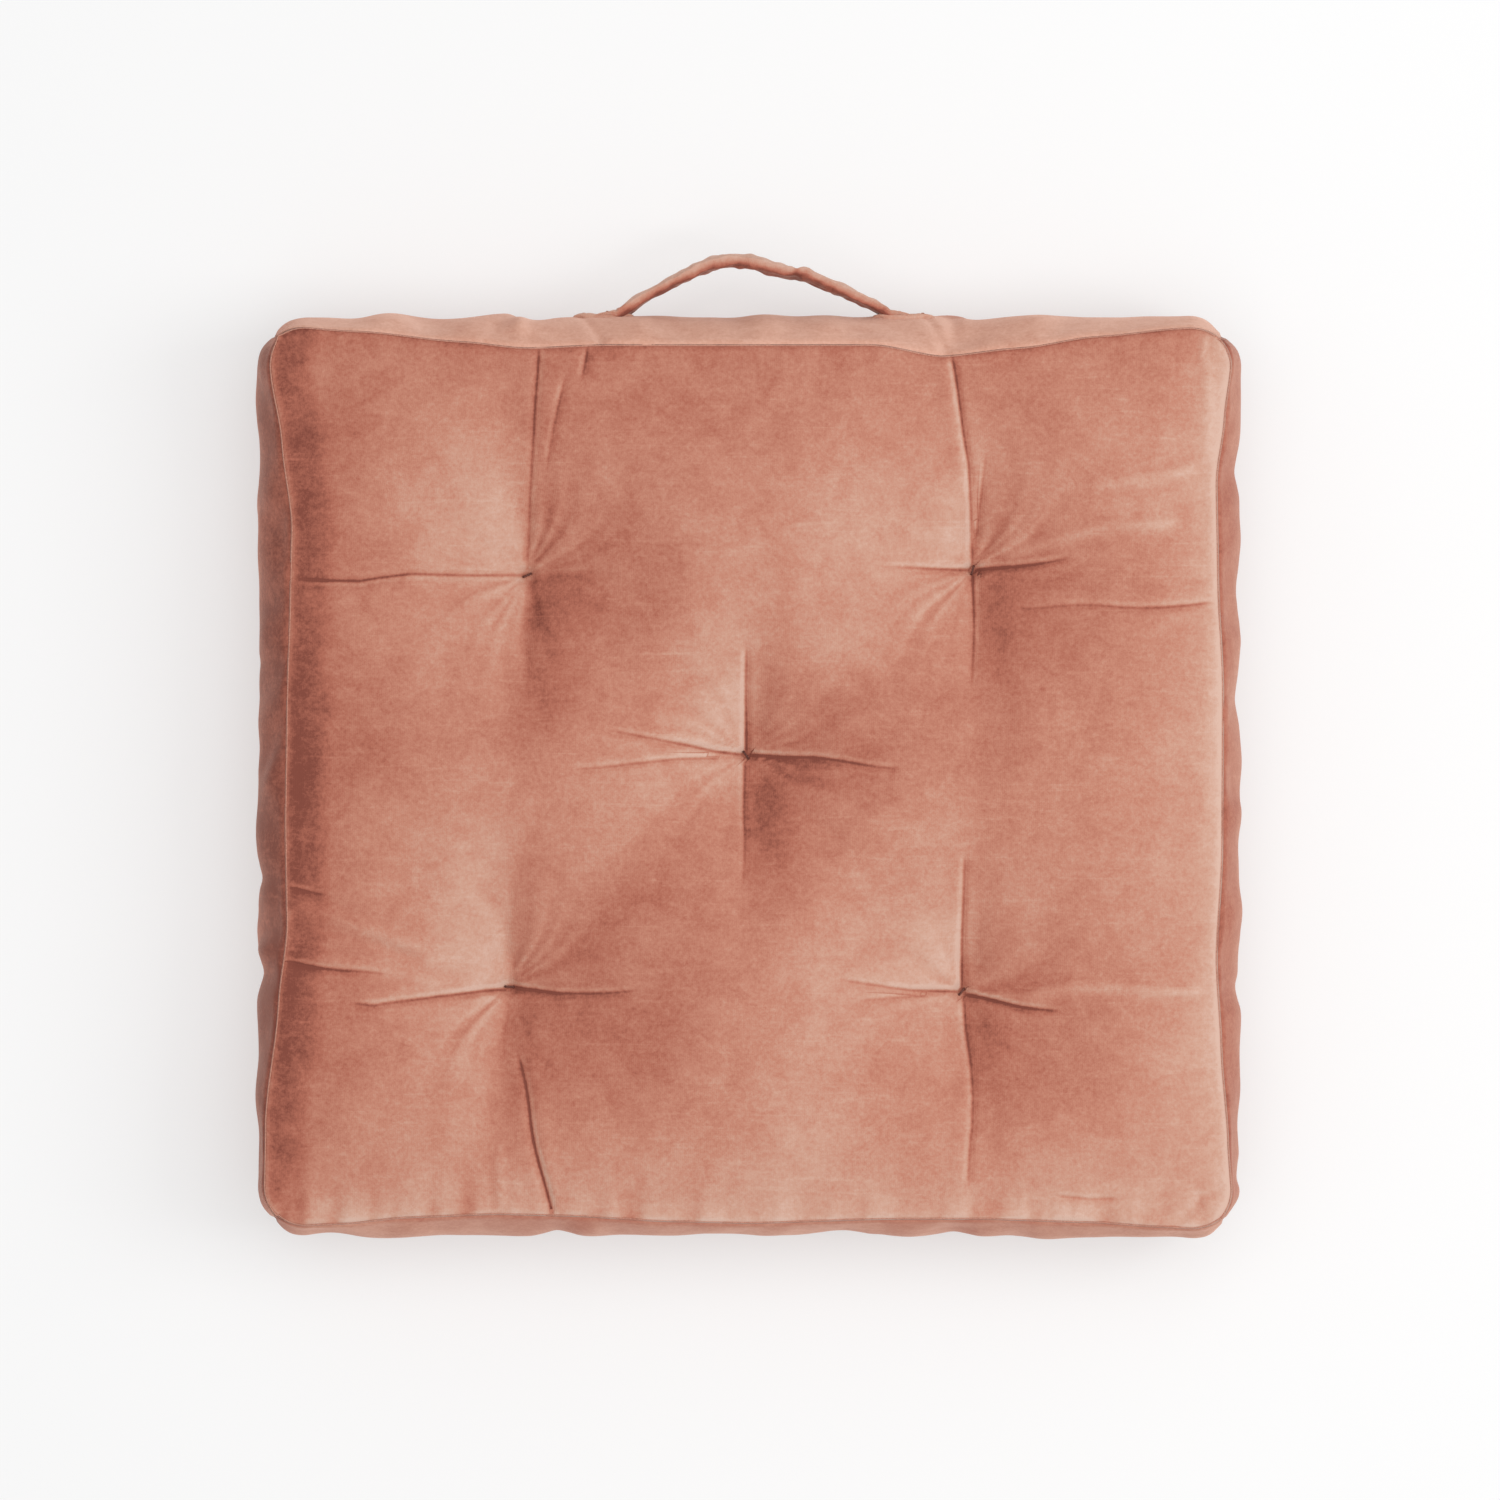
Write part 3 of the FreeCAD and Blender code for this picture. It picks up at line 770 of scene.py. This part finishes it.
def tube(path, radius, sides, closed=False, up=(0, 0, 1)):
    """A round tube along a path, its radius a number or one for each point.

    An open tube ends in a point at each end, so that it is closed.
    """
    if closed:
        wrapped = np.concatenate([path[-1:], path, path[:1]])
        _, side, top = (d[1:-1] for d in frames_along(wrapped, up))
    else:
        _, side, top = frames_along(path, up)
    radius = np.broadcast_to(radius, len(path)).astype(float).copy()
    if not closed:
        radius[[0, -1]] = 1e-5
    turn = np.arange(sides) * 2 * np.pi / sides
    ring = side[:, None] * np.cos(turn)[None, :, None] + top[:, None] * np.sin(turn)[None, :, None]
    points = path[:, None] + ring * radius[:, None, None]
    quads = grid_quads(len(path), sides, close_rows=closed, close_columns=True)
    return points.reshape(-1, 3), quads[:, ::-1]


def joined(parts):
    """Several (points, quads) as one."""
    points, quads, base = [], [], 0
    for p, q in parts:
        points.append(p)
        quads.append(q + base)
        base += len(p)
    return np.concatenate(points), np.concatenate(quads)


def twisted(path, thickness, pitch, up):
    """Twine: two plies that wind round the path as a helix, each a thin tube."""
    plies = 2
    _, side, top = frames_along(path, up)
    run = run_along(path)
    ply = thickness / 2 / (1 + 1 / math.sin(math.pi / plies)) * 1.25
    off = thickness / 2 - ply
    strands = []
    for k in range(plies):
        turn = 2 * np.pi * (run / pitch + k / plies)
        helix = path + off * (side * np.cos(turn)[:, None] + top * np.sin(turn)[:, None])
        strands.append(tube(helix, ply, 7, up=up))
    return joined(strands)


def resampled(points, count):
    """count points evenly along a smooth curve through the given ones."""
    points = np.array(points, float)
    dense = spline_rows(len(points) - 1, 16) @ points
    run = run_along(dense)
    even = np.linspace(0, run[-1], count)
    return np.stack([np.interp(even, run, dense[:, k]) for k in range(3)], axis=1)


# ------------------------------------------------------------------ materials
def linear(red, green, blue):
    """Linear colour of an sRGB one given from 0 to 255."""
    value = np.array([red, green, blue]) / 255
    value = np.where(value <= 0.04045, value / 12.92, ((value + 0.055) / 1.055) ** 2.4)
    return (*value.tolist(), 1.0)


class Nodes:
    """A short way to write a material's node tree."""

    def __init__(self, name):
        self.material = bpy.data.materials.new(name)
        self.material.use_nodes = True
        self.tree = self.material.node_tree
        self.tree.nodes.clear()

    def add(self, kind, **inputs):
        """A node of that kind. Each input is named, or i0, i1 by its number, and is given a
        value or another node's output."""
        node = self.tree.nodes.new("ShaderNode" + kind)
        for key, value in inputs.items():
            by_number = key[0] == "i" and key[1:].isdigit()
            socket = node.inputs[int(key[1:]) if by_number else key.replace("_", " ")]
            if isinstance(value, bpy.types.NodeSocket):
                self.tree.links.new(value, socket)
            else:
                socket.default_value = value
        return node

    def attribute(self, name):
        """The value of a vertex attribute."""
        node = self.add("Attribute")
        node.attribute_name = name
        return node.outputs["Fac"]

    def stretched(self, vector, stretch, turn):
        """A place scaled along Y and then turned about Z, for marks that run one way."""
        node = self.add("Mapping", Vector=vector)
        node.inputs["Scale"].default_value = (1.0, stretch, 1.0)
        node.inputs["Rotation"].default_value = (0.0, 0.0, turn)
        return node.outputs[0]

    def maths(self, operation, a, b=0.0, clamp=False):
        """The output of one Math node."""
        node = self.add("Math", i0=a, i1=b)
        node.operation = operation
        node.use_clamp = clamp
        return node.outputs[0]

    def noise(self, vector, scale, detail, roughness, distortion=0.0):
        """The value output of a Noise Texture."""
        node = self.add("TexNoise", Vector=vector, Scale=scale, Detail=detail,
                        Roughness=roughness, Distortion=distortion)
        return node.outputs[0]

    def ramp(self, factor, stops):
        """The colour output of a Color Ramp with (place, colour) stops."""
        node = self.add("ValToRGB", Fac=factor)
        elements = node.color_ramp.elements
        while len(elements) < len(stops):
            elements.new(0.5)
        for element, (place, colour) in zip(elements, stops):
            element.position = place
            element.color = colour
        return node.outputs[0]


# The velvet's colour from its deepest to its palest tone, a range that holds the pile's own shades
# and also painted light and shade, on the faces and on the sides, whose pale end is warmer, and
# the colour of its sheen
FACE_TONES = [
    (0.0, linear(126, 70, 58)),
    (0.25, linear(168, 101, 83)),
    (0.5, linear(186, 127, 107)),
    (0.75, linear(196, 152, 133)),
    (1.0, linear(206, 172, 156)),
]
SIDE_TONES = FACE_TONES[:3] + [(0.75, linear(204, 152, 131)), (1.0, linear(219, 172, 152))]
SHEEN = linear(240, 205, 190)


def velvet(name, tones):
    """Brushed velvet. Its colour runs from deep to pale with the pile attribute, which also
    carries painted light and shade. Broad brush marks, small mottling and a fine fleck move it
    about, and it is darkened by a painted shadow along each narrow crease, with a painted
    highlight on its pale side and painted shade on its other side. The bump is pile tips and
    weave, sunk along the crease lines."""
    n = Nodes(name)
    place = n.add("TexCoord").outputs["Object"]
    broad = n.noise(place, 11.0, 5.0, 0.62, distortion=0.5)
    blotch = n.noise(place, 60.0, 5.0, 0.7, distortion=0.8)
    brush = n.noise(n.stretched(place, 2.2, 0.5), 95.0, 3.0, 0.6)
    fleck = n.noise(place, 420.0, 4.0, 0.8)
    off = n.attribute("crease_off")
    deep = n.maths("MULTIPLY", n.attribute("crease_deep"), 0.4, clamp=True)

    def bell(middle, width):
        """exp(-((off - middle) / width)^2) * deep"""
        away = n.maths("DIVIDE", n.maths("SUBTRACT", off, middle), width)
        drop = n.maths("MULTIPLY", n.maths("MULTIPLY", away, away), -1.0)
        return n.maths("MULTIPLY", n.maths("EXPONENT", drop), deep)

    # Painted shadow: a dark line along each narrow crease, then a painted highlight on its pale
    # side and painted shade on its other side.
    line = bell(0.0, 0.9)
    scratch = n.noise(n.stretched(place, 16.0, -0.3), 22.0, 4.0, 0.6, distortion=0.3)
    scratch = n.maths("MULTIPLY", n.maths("SUBTRACT", scratch, 0.58, clamp=True), 0.6)
    tone = n.maths("ADD", n.attribute("pile"), scratch)
    tone = n.maths("ADD", tone, n.maths("MULTIPLY", bell(2.6, 1.7), 0.26))
    tone = n.maths("SUBTRACT", tone, n.maths("MULTIPLY", bell(-2.0, 1.8), 0.14))
    tone = n.maths("SUBTRACT", tone, n.maths("MULTIPLY", line, 0.66))
    for value, amount in ((broad, 0.46), (blotch, 0.44), (brush, 0.16), (fleck, 0.62)):
        tone = n.maths("ADD", tone, n.maths("MULTIPLY", n.maths("SUBTRACT", value, 0.5), amount))
    colour = n.ramp(tone, tones)
    uv = n.add("TexCoord").outputs["UV"]
    weave = n.add("TexWave", Vector=uv, Scale=260.0, Distortion=1.2, Detail=1.0)
    rows = n.maths("MULTIPLY", weave.outputs["Fac"], 0.25)
    surface = n.maths("ADD", n.maths("MULTIPLY", brush, 0.5), n.maths("MULTIPLY", fleck, 0.8))
    surface = n.maths("SUBTRACT", n.maths("ADD", surface, rows), n.maths("MULTIPLY", line, 2.5))
    bump = n.add("Bump", Height=surface, Strength=0.4, Distance=0.0006)
    shader = n.add(
        "BsdfPrincipled", Base_Color=colour, Normal=bump.outputs[0], Roughness=0.92,
        Specular_IOR_Level=0.12, Sheen_Weight=0.5, Sheen_Roughness=0.38, Sheen_Tint=SHEEN,
    )
    n.add("OutputMaterial", Surface=shader.outputs[0])
    return n.material


def thread(name, colour, dark, pitch):
    """Twisted thread: its colour goes darker and lighter at random, with a noise the size of its
    turns and a fine fibre noise.
    """
    n = Nodes(name)
    place = n.add("TexCoord").outputs["Object"]
    fibres = n.noise(place, 1400.0, 2.0, 0.6)
    turns = n.noise(place, 1 / pitch, 1.0, 0.5)
    blend = n.maths("ADD", n.maths("MULTIPLY", fibres, 0.6), n.maths("MULTIPLY", turns, 0.4))
    tint = n.ramp(blend, [(0.3, dark), (0.7, colour)])
    bump = n.add("Bump", Height=fibres, Strength=0.5, Distance=0.0002)
    shader = n.add("BsdfPrincipled", Base_Color=tint, Normal=bump.outputs[0],
                   Roughness=0.7, Specular_IOR_Level=0.3)
    n.add("OutputMaterial", Surface=shader.outputs[0])
    return n.material


face_velvet = velvet("velvet", FACE_TONES)
side_velvet = velvet("side_velvet", SIDE_TONES)
handle_velvet = velvet("handle_velvet", FACE_TONES)
sewing = thread("sewing_thread", linear(204, 148, 128), linear(158, 104, 87), 0.0012)
twine = thread("tuft_twine", linear(118, 70, 60), linear(62, 34, 29), 0.002)

# ------------------------------------------------------------------ cover
points, faces, pins, top_ids, bottom_ids, ring_ids = start_shape()
filled = fill_cover(points, faces, pins)

top_grid, off, deep, streaks = finished_top(filled[top_ids])
bottom_grid = finished_bottom(filled[bottom_ids])
# Painted light and shade: slopes painted by how they lean, partly the pile's lay, and wrinkle tops
# and ridges painted pale, their hollows deep.
tone = 0.47 + 1.05 * pile_lay_and_painted_light(top_grid) + 0.11 * streaks
# Paler towards the right, the key light's side: painted light.
tone += 0.06 * top_grid[..., 0] / HALF_WIDTH
from_left, from_right, from_front, _ = edge_distances(top_grid)
# Painted shade in a band along the left edge, where the face rolls down away from the light, and a
# painted highlight on the left seam's roll.
tone -= 0.20 * (1 - smoothstep((from_left - 17) / 16)) * smoothstep(from_left / 8)
tone += 0.30 * np.exp(-(((from_left - 1.2) / 2.2) ** 2))
# Paler along the right and front edges: painted light on the rolls there.
tone += 0.14 * np.exp(-((from_right / 9) ** 2)) + 0.10 * np.exp(-((from_front / 62) ** 2))
top_cloth = cloth_piece("top_panel_cloth", top_grid, tone, face_velvet, "velvet", 1, off, deep)
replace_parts(top_cloth, "top_panel", "filling")
# Painted light and shade on the bottom face by how its slopes lean, partly the pile's lay.
tone = 0.5 + 0.9 * pile_lay_and_painted_light(bottom_grid, up=-1)
bottom_cloth = cloth_piece("bottom_panel_cloth", bottom_grid, tone, face_velvet, "velvet", up=-1)
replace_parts(bottom_cloth, "bottom_panel")

wrapped = np.concatenate([ring_ids, ring_ids[:, :1]], axis=1)
turns = np.cumsum([0, CELLS_X, CELLS_Y, CELLS_X, CELLS_Y])
# Each side's tone near its top seam, partly the pile cut in its own direction and partly painted
# light and shade: the left side painted deep, in the key light's shade, the back painted pale, as
# sheen at a glancing view.
SIDE_PILE_AND_PAINTED_LIGHT = (("front", 0.60), ("right", 0.42), ("back", 0.88), ("left", 0.12))
for number, (side, painted_tone) in enumerate(SIDE_PILE_AND_PAINTED_LIGHT):
    coarse = filled[wrapped[:, turns[number]:turns[number + 1] + 1]]
    extra = pull_at_handle if side == "back" else None
    grid = finished_side(coarse, side, 60 + 10 * number, extra)
    lean = normals_of(grid) @ PILE_LAY_AND_PAINTED_LIGHT
    ends = np.minimum(*edge_distances(grid)[2:])
    wander = 7 * ripple(grid[..., 0] / MM, grid[..., 1] / MM, 90, 50 + number, 2)
    # The painted tone fades out lower down and towards the corners, and each side's slopes are
    # painted paler or deeper by how they lean.
    painted_reach = smoothstep((grid[..., 2] / MM - 32 + wander) / 48) * smoothstep(ends / 26 + 0.35)
    tone = 0.42 + (painted_tone - 0.42) * painted_reach + 0.5 * (lean - lean.mean())
    cloth = cloth_piece(f"side_{side}_cloth", grid, tone, side_velvet, "side_velvet")
    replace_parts(cloth, "side_panel_" + side)

# ------------------------------------------------------------------ seams
THREAD_DEPTH = 1.1  # how far a seam's thread lies below the line where its panels meet, in mm


def stitched_line(name, path, closed):
    """Sewing thread along a seam, thinner where each stitch dips into the cloth."""
    run = run_along(path)
    radius = (0.30 + 0.12 * np.abs(np.cos(np.pi * run / (3.2 * MM)))) * MM
    points, quads = tube(path, radius, 6, closed)
    piece = new_piece(name, points, quads, sewing, "sewing_thread")
    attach(piece, "cushion")
    return piece


for name, row in (("top_seam_thread", 0), ("bottom_seam_thread", -1)):
    loop = filled[wrapped[row]]
    dense = inset(rounded(spline_rows(len(loop) - 1, 5) @ loop), THREAD_DEPTH)[:-1]
    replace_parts(stitched_line(name + "_line", dense, True), name)
corner_names = ("front_left", "front_right", "back_right", "back_left")
for name, column in zip(corner_names, turns[:4]):
    line = inset(rounded(spline_rows(CELLS_Z, 8) @ filled[ring_ids[:, column]]), THREAD_DEPTH)
    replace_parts(stitched_line(f"corner_seam_{name}_line", line, False), "corner_seam_" + name)

# ------------------------------------------------------------------ tufts
def tuft_piece(name, number):
    """Twine through the pad: a short stitch over the top cloth, two runs down and a knot."""
    x, y = TUFTS[name]
    turn = 0.4 + 0.9 * number
    way = np.array([math.cos(turn), math.sin(turn), 0])
    middle = np.array([x, y, 0])
    top, low = filled[top_ids].reshape(-1, 3), filled[bottom_ids].reshape(-1, 3)
    top_z = top[np.argmin(np.hypot(top[:, 0] - x, top[:, 1] - y)), 2]
    low_z = low[np.argmin(np.hypot(low[:, 0] - x, low[:, 1] - y)), 2]
    lift = np.array([0, 0, 1])
    run = [(1.5, top_z + 0.9 * MM), (2.5, top_z - 1 * MM), (1.4, top_z - 12 * MM),
           (1.2, low_z + 2 * MM)]
    stitch = [middle - way * out * MM + lift * z for out, z in reversed(run)]
    stitch += [middle + way * out * MM + lift * z for out, z in run]
    across = np.array([-way[1], way[0], 0])
    t = np.linspace(0, 4 * np.pi, 73)[:, None]
    knot = middle + lift * (low_z - 1.6 * MM) + 1.7 * MM * (
        way * np.cos(t) * (1 + 0.25 * np.sin(t * 1.5))
        + across * np.sin(t) + lift * 0.45 * np.sin(1.5 * t)
    )
    parts = [
        twisted(resampled(stitch, 240), 1.6 * MM, 3.6 * MM, up=across),
        tube(knot, 0.8 * MM, 7),
    ]
    points, quads = joined(parts)
    piece = new_piece(f"tuft_tie_{name}_twine", points, quads, twine, "tuft_twine")
    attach(piece, "cushion")
    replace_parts(piece, "tuft_tie_" + name)


for number, name in enumerate(TUFT_NAMES):
    tuft_piece(name, number)

# ------------------------------------------------------------------ handle
# Middle line of the strap's free bow seen from above, (right, back) in mm: straight legs up to
# a rounded top that sits left of the middle, with a kink in the right leg
STRAP_BOW = [
    (-79.5, 284.5), (-69, 291.6), (-58, 298.0), (-47, 303.9), (-36.5, 309.2), (-28, 313.2),
    (-20, 315.8), (-11, 317.0), (-2, 316.6), (8, 314.4), (16, 312.0), (24, 309.6), (29.5, 308.9),
    (34.5, 308.6), (41, 305.4), (50, 301.9), (59, 298.0), (68, 293.9), (77, 289.6), (85.5, 284.8),
]


def strap_section():
    """Outline of the folded strap, (through, across) from -1 to 1: a fat rounded oblong with
    a nick at both narrow edges, where its two layers are sewn together."""
    t = np.linspace(0, 2 * np.pi, 40, endpoint=False)
    c, s = np.cos(t), np.sin(t)
    through = np.sign(c) * np.abs(c) ** 0.55
    across = np.sign(s) * np.abs(s) ** 0.75
    nick = 1 - 0.16 * np.exp(-((c / 0.16) ** 2))
    return through, across * nick


def strap_piece():
    """The handle's strap: section swept along a bow whose feet turn out along the tabs."""
    count = 181
    bow = np.array(STRAP_BOW)
    bow = np.column_stack([bow, HINGE[2] / MM + 0.8 * np.sin(bow[:, 0] / 24)]) * MM
    feet = np.array([[-84.0, 284.8], [-90, 284.0], [-96, 281.8]])
    left = np.stack([feet[::-1, 0], feet[::-1, 1], np.full(3, HINGE[2] / MM)], axis=1) * MM
    right = left[::-1].copy()
    right[:, 0] = 2 * HINGE[0] - right[:, 0]
    path = resampled(np.concatenate([left, bow, right]), count)
    up = np.array([0.0, 0.0, 1.0])
    tangent, out, _ = frames_along(path, up)
    s = path[:, 0] / MM - HINGE[0] / MM
    twist = 0.10 * np.exp(-(((s - 30) / 16) ** 2)) + 0.05 * np.sin(s / 31)
    across = up * np.cos(twist)[:, None] + out * np.sin(twist)[:, None]
    through = np.cross(tangent, across)
    foot = smoothstep((np.abs(s) - 80) / 10)
    legs = 0.80 + 0.20 * np.exp(-(((s + 10) / 30) ** 2))
    pinch = 1 - 0.28 * np.exp(-(((s - 26) / 2.2) ** 2)) + 0.16 * np.exp(-(((s - 31) / 3) ** 2))
    thick = (4.25 * legs * (1 - foot) + 1.1 * foot) * pinch
    thick *= 1 + 0.05 * np.sin(s / 7.0) * (1 - foot)
    wide = 9.9 - 0.9 * np.exp(-(((np.abs(s) - 78) / 9) ** 2)) - 0.5 * foot
    thick[[0, -1]] = 0.2
    a, b = strap_section()
    half_thick, half_wide = a[None] * thick[:, None], b[None] * wide[:, None]
    crumple = ripple(s[:, None] + 3 * a[None], half_wide, 15, 91, 2)
    half_thick *= 1 + 0.15 * crumple
    half_wide *= 1 + 0.02 * crumple
    points = (
        path[:, None]
        + through[:, None] * (half_thick * MM)[..., None]
        + across[:, None] * (half_wide * MM)[..., None]
    )
    quads = grid_quads(count, len(a), close_columns=True)[:, ::-1]
    # Painted light and shade across the strap: pale along its outer edge and deep along its inner
    # edge, a little paler where it bulges, and painted shade at the kink in the right leg and
    # where the feet meet the tabs.
    tone = 0.47 - 0.38 * np.tanh(2.4 * (a[None] - 0.15)) + 0.05 * crumple
    tone += (0.7 - tone) * foot[:, None]
    shaded = np.exp(-(((s - 26.5) / 1.8) ** 2)) + np.exp(-(((np.abs(s) - 80) / 4) ** 2))
    tone -= 0.4 * shaded[:, None]
    uv = np.stack(np.meshgrid(np.arange(count) * 1.2, np.arange(len(a)) * 1.3, indexing="ij"), -1)
    piece = new_piece("handle_strap_cloth", points.reshape(-1, 3), quads, handle_velvet,
                      "handle_velvet", uv.reshape(-1, 2) * MM, pile=tone)
    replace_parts(piece, "handle_strap")
    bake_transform(piece)


def tab_piece(side):
    """One sewn-down end of the strap: a flat rounded pad on the back side's cloth."""
    low, high = (np.array(c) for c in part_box("handle_tab_" + side))
    middle, half = (low + high) / 2, (high - low) / 2
    u, v = np.meshgrid(np.linspace(-1, 1, 61), np.linspace(-1, 1, 31), indexing="ij")
    round_u = u * np.sqrt(1 - 0.5 * np.abs(v) ** 6)
    round_v = v * np.sqrt(1 - 0.5 * np.abs(u) ** 6)
    swell = (1 - np.abs(u) ** 6) ** 0.5 * (1 - np.abs(v) ** 6) ** 0.5
    swell *= 1 + 0.12 * ripple(u * 19, v * 9, 12, 7 + len(side), 2)
    x = middle[0] + half[0] * round_u
    z = middle[2] + half[2] * round_v
    front = np.stack([x, high[1] + 2.2 * MM + 2.2 * MM * (swell - 1), z], axis=2)
    back = np.stack([x, np.full_like(x, low[1] - 1.5 * MM), z], axis=2)
    rows, columns = u.shape
    base = rows * columns
    face = grid_quads(rows, columns)
    rim = np.concatenate([
        np.arange(columns), np.arange(1, rows) * columns + columns - 1,
        (rows - 1) * columns + np.arange(columns - 2, -1, -1),
        np.arange(rows - 2, 0, -1) * columns,
    ])
    following = np.roll(rim, -1)
    wall = np.stack([rim, following, following + base, rim + base], 1)
    quads = np.concatenate([face, face[:, ::-1] + base, wall])
    points = np.concatenate([front.reshape(-1, 3), back.reshape(-1, 3)])
    uv = np.concatenate([np.stack([x, z], 2).reshape(-1, 2)] * 2)
    piece = new_piece(f"handle_tab_{side}_cloth", points, quads, handle_velvet,
                      "handle_velvet", uv, pile=np.full(len(points), 0.7))
    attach(piece, "cushion")
    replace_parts(piece, "handle_tab_" + side)


def tack_piece(side):
    """Bar tack: two zigzag rows of close stitches, the inner one through the strap's foot and
    the outer one through the tab alone."""
    low, high = (np.array(c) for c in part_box("handle_tack_" + side))
    parts = []
    tab_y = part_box("handle_tab_" + side)[1][1]
    rows = [low[0] + 0.9 * MM, high[0] - 0.9 * MM]
    rows.sort(key=abs)
    for x, y in zip(rows, (tab_y + 3.5 * MM, tab_y + 2.4 * MM)):
        z = np.linspace(low[2], high[2], 15)
        zigzag = np.stack([x + 0.8 * MM * (-1.0) ** np.arange(15), np.full(15, y), z], axis=1)
        zigzag[[0, -1], 1] -= 1.5 * MM
        parts.append(tube(spline_rows(14, 6) @ zigzag, 0.28 * MM, 6, up=(0, 1, 0)))
    points, quads = joined(parts)
    piece = new_piece(f"handle_tack_{side}_thread", points, quads, sewing, "sewing_thread")
    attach(piece, "cushion")
    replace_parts(piece, "handle_tack_" + side)


strap_piece()
for side in ("left", "right"):
    tab_piece(side)
    tack_piece(side)

# ------------------------------------------------------------------ studio
def area_light(name, place, size, power):
    """A square area light at place, turned to the cushion."""
    light = bpy.data.lights.new(name, "AREA")
    light.size = size
    light.energy = power
    lamp = bpy.data.objects.new(name, light)
    lamp.location = place
    way = Vector((0, 0, 0.08)) - Vector(place)
    lamp.rotation_euler = way.to_track_quat("-Z", "Y").to_euler()
    bpy.context.scene.collection.objects.link(lamp)
    return lamp


scene = bpy.context.scene
floor_mesh = bpy.data.meshes.new("floor")
reach = 6.0
floor_mesh.from_pydata(
    [(-reach, -reach, 0), (reach, -reach, 0), (reach, reach, 0), (-reach, reach, 0)],
    [], [(0, 1, 2, 3)],
)
floor = bpy.data.objects.new("floor", floor_mesh)
scene.collection.objects.link(floor)
paper = Nodes("paper")
sheet = paper.add(
    "BsdfPrincipled", Base_Color=(0.45, 0.45, 0.45, 1), Roughness=0.9,
    Emission_Color=(1, 1, 1, 1), Emission_Strength=0.44,
)
paper.add("OutputMaterial", Surface=sheet.outputs[0])
floor_mesh.materials.append(paper.material)

key = area_light("key", (1.8, 0.1, 2.2), 1.4, 22)
overhead = area_light("top", (0.2, 0.1, 3.4), 3.0, 51)

world = bpy.data.worlds.new("studio")
world.use_nodes = True
background = world.node_tree.nodes["Background"]
background.inputs["Color"].default_value = (1, 1, 1, 1)
background.inputs["Strength"].default_value = 0.62
scene.world = world
scene.view_settings.view_transform = "Standard"

lens = bpy.data.cameras.new("camera")
lens.sensor_width = 36
lens.lens = 232
# Straight down from high up through a long lens, which shows the sides only as a thin band
camera = bpy.data.objects.new("camera", lens)
camera.location = (0.0009, 0.0165, 6.0)
scene.collection.objects.link(camera)
scene.camera = camera
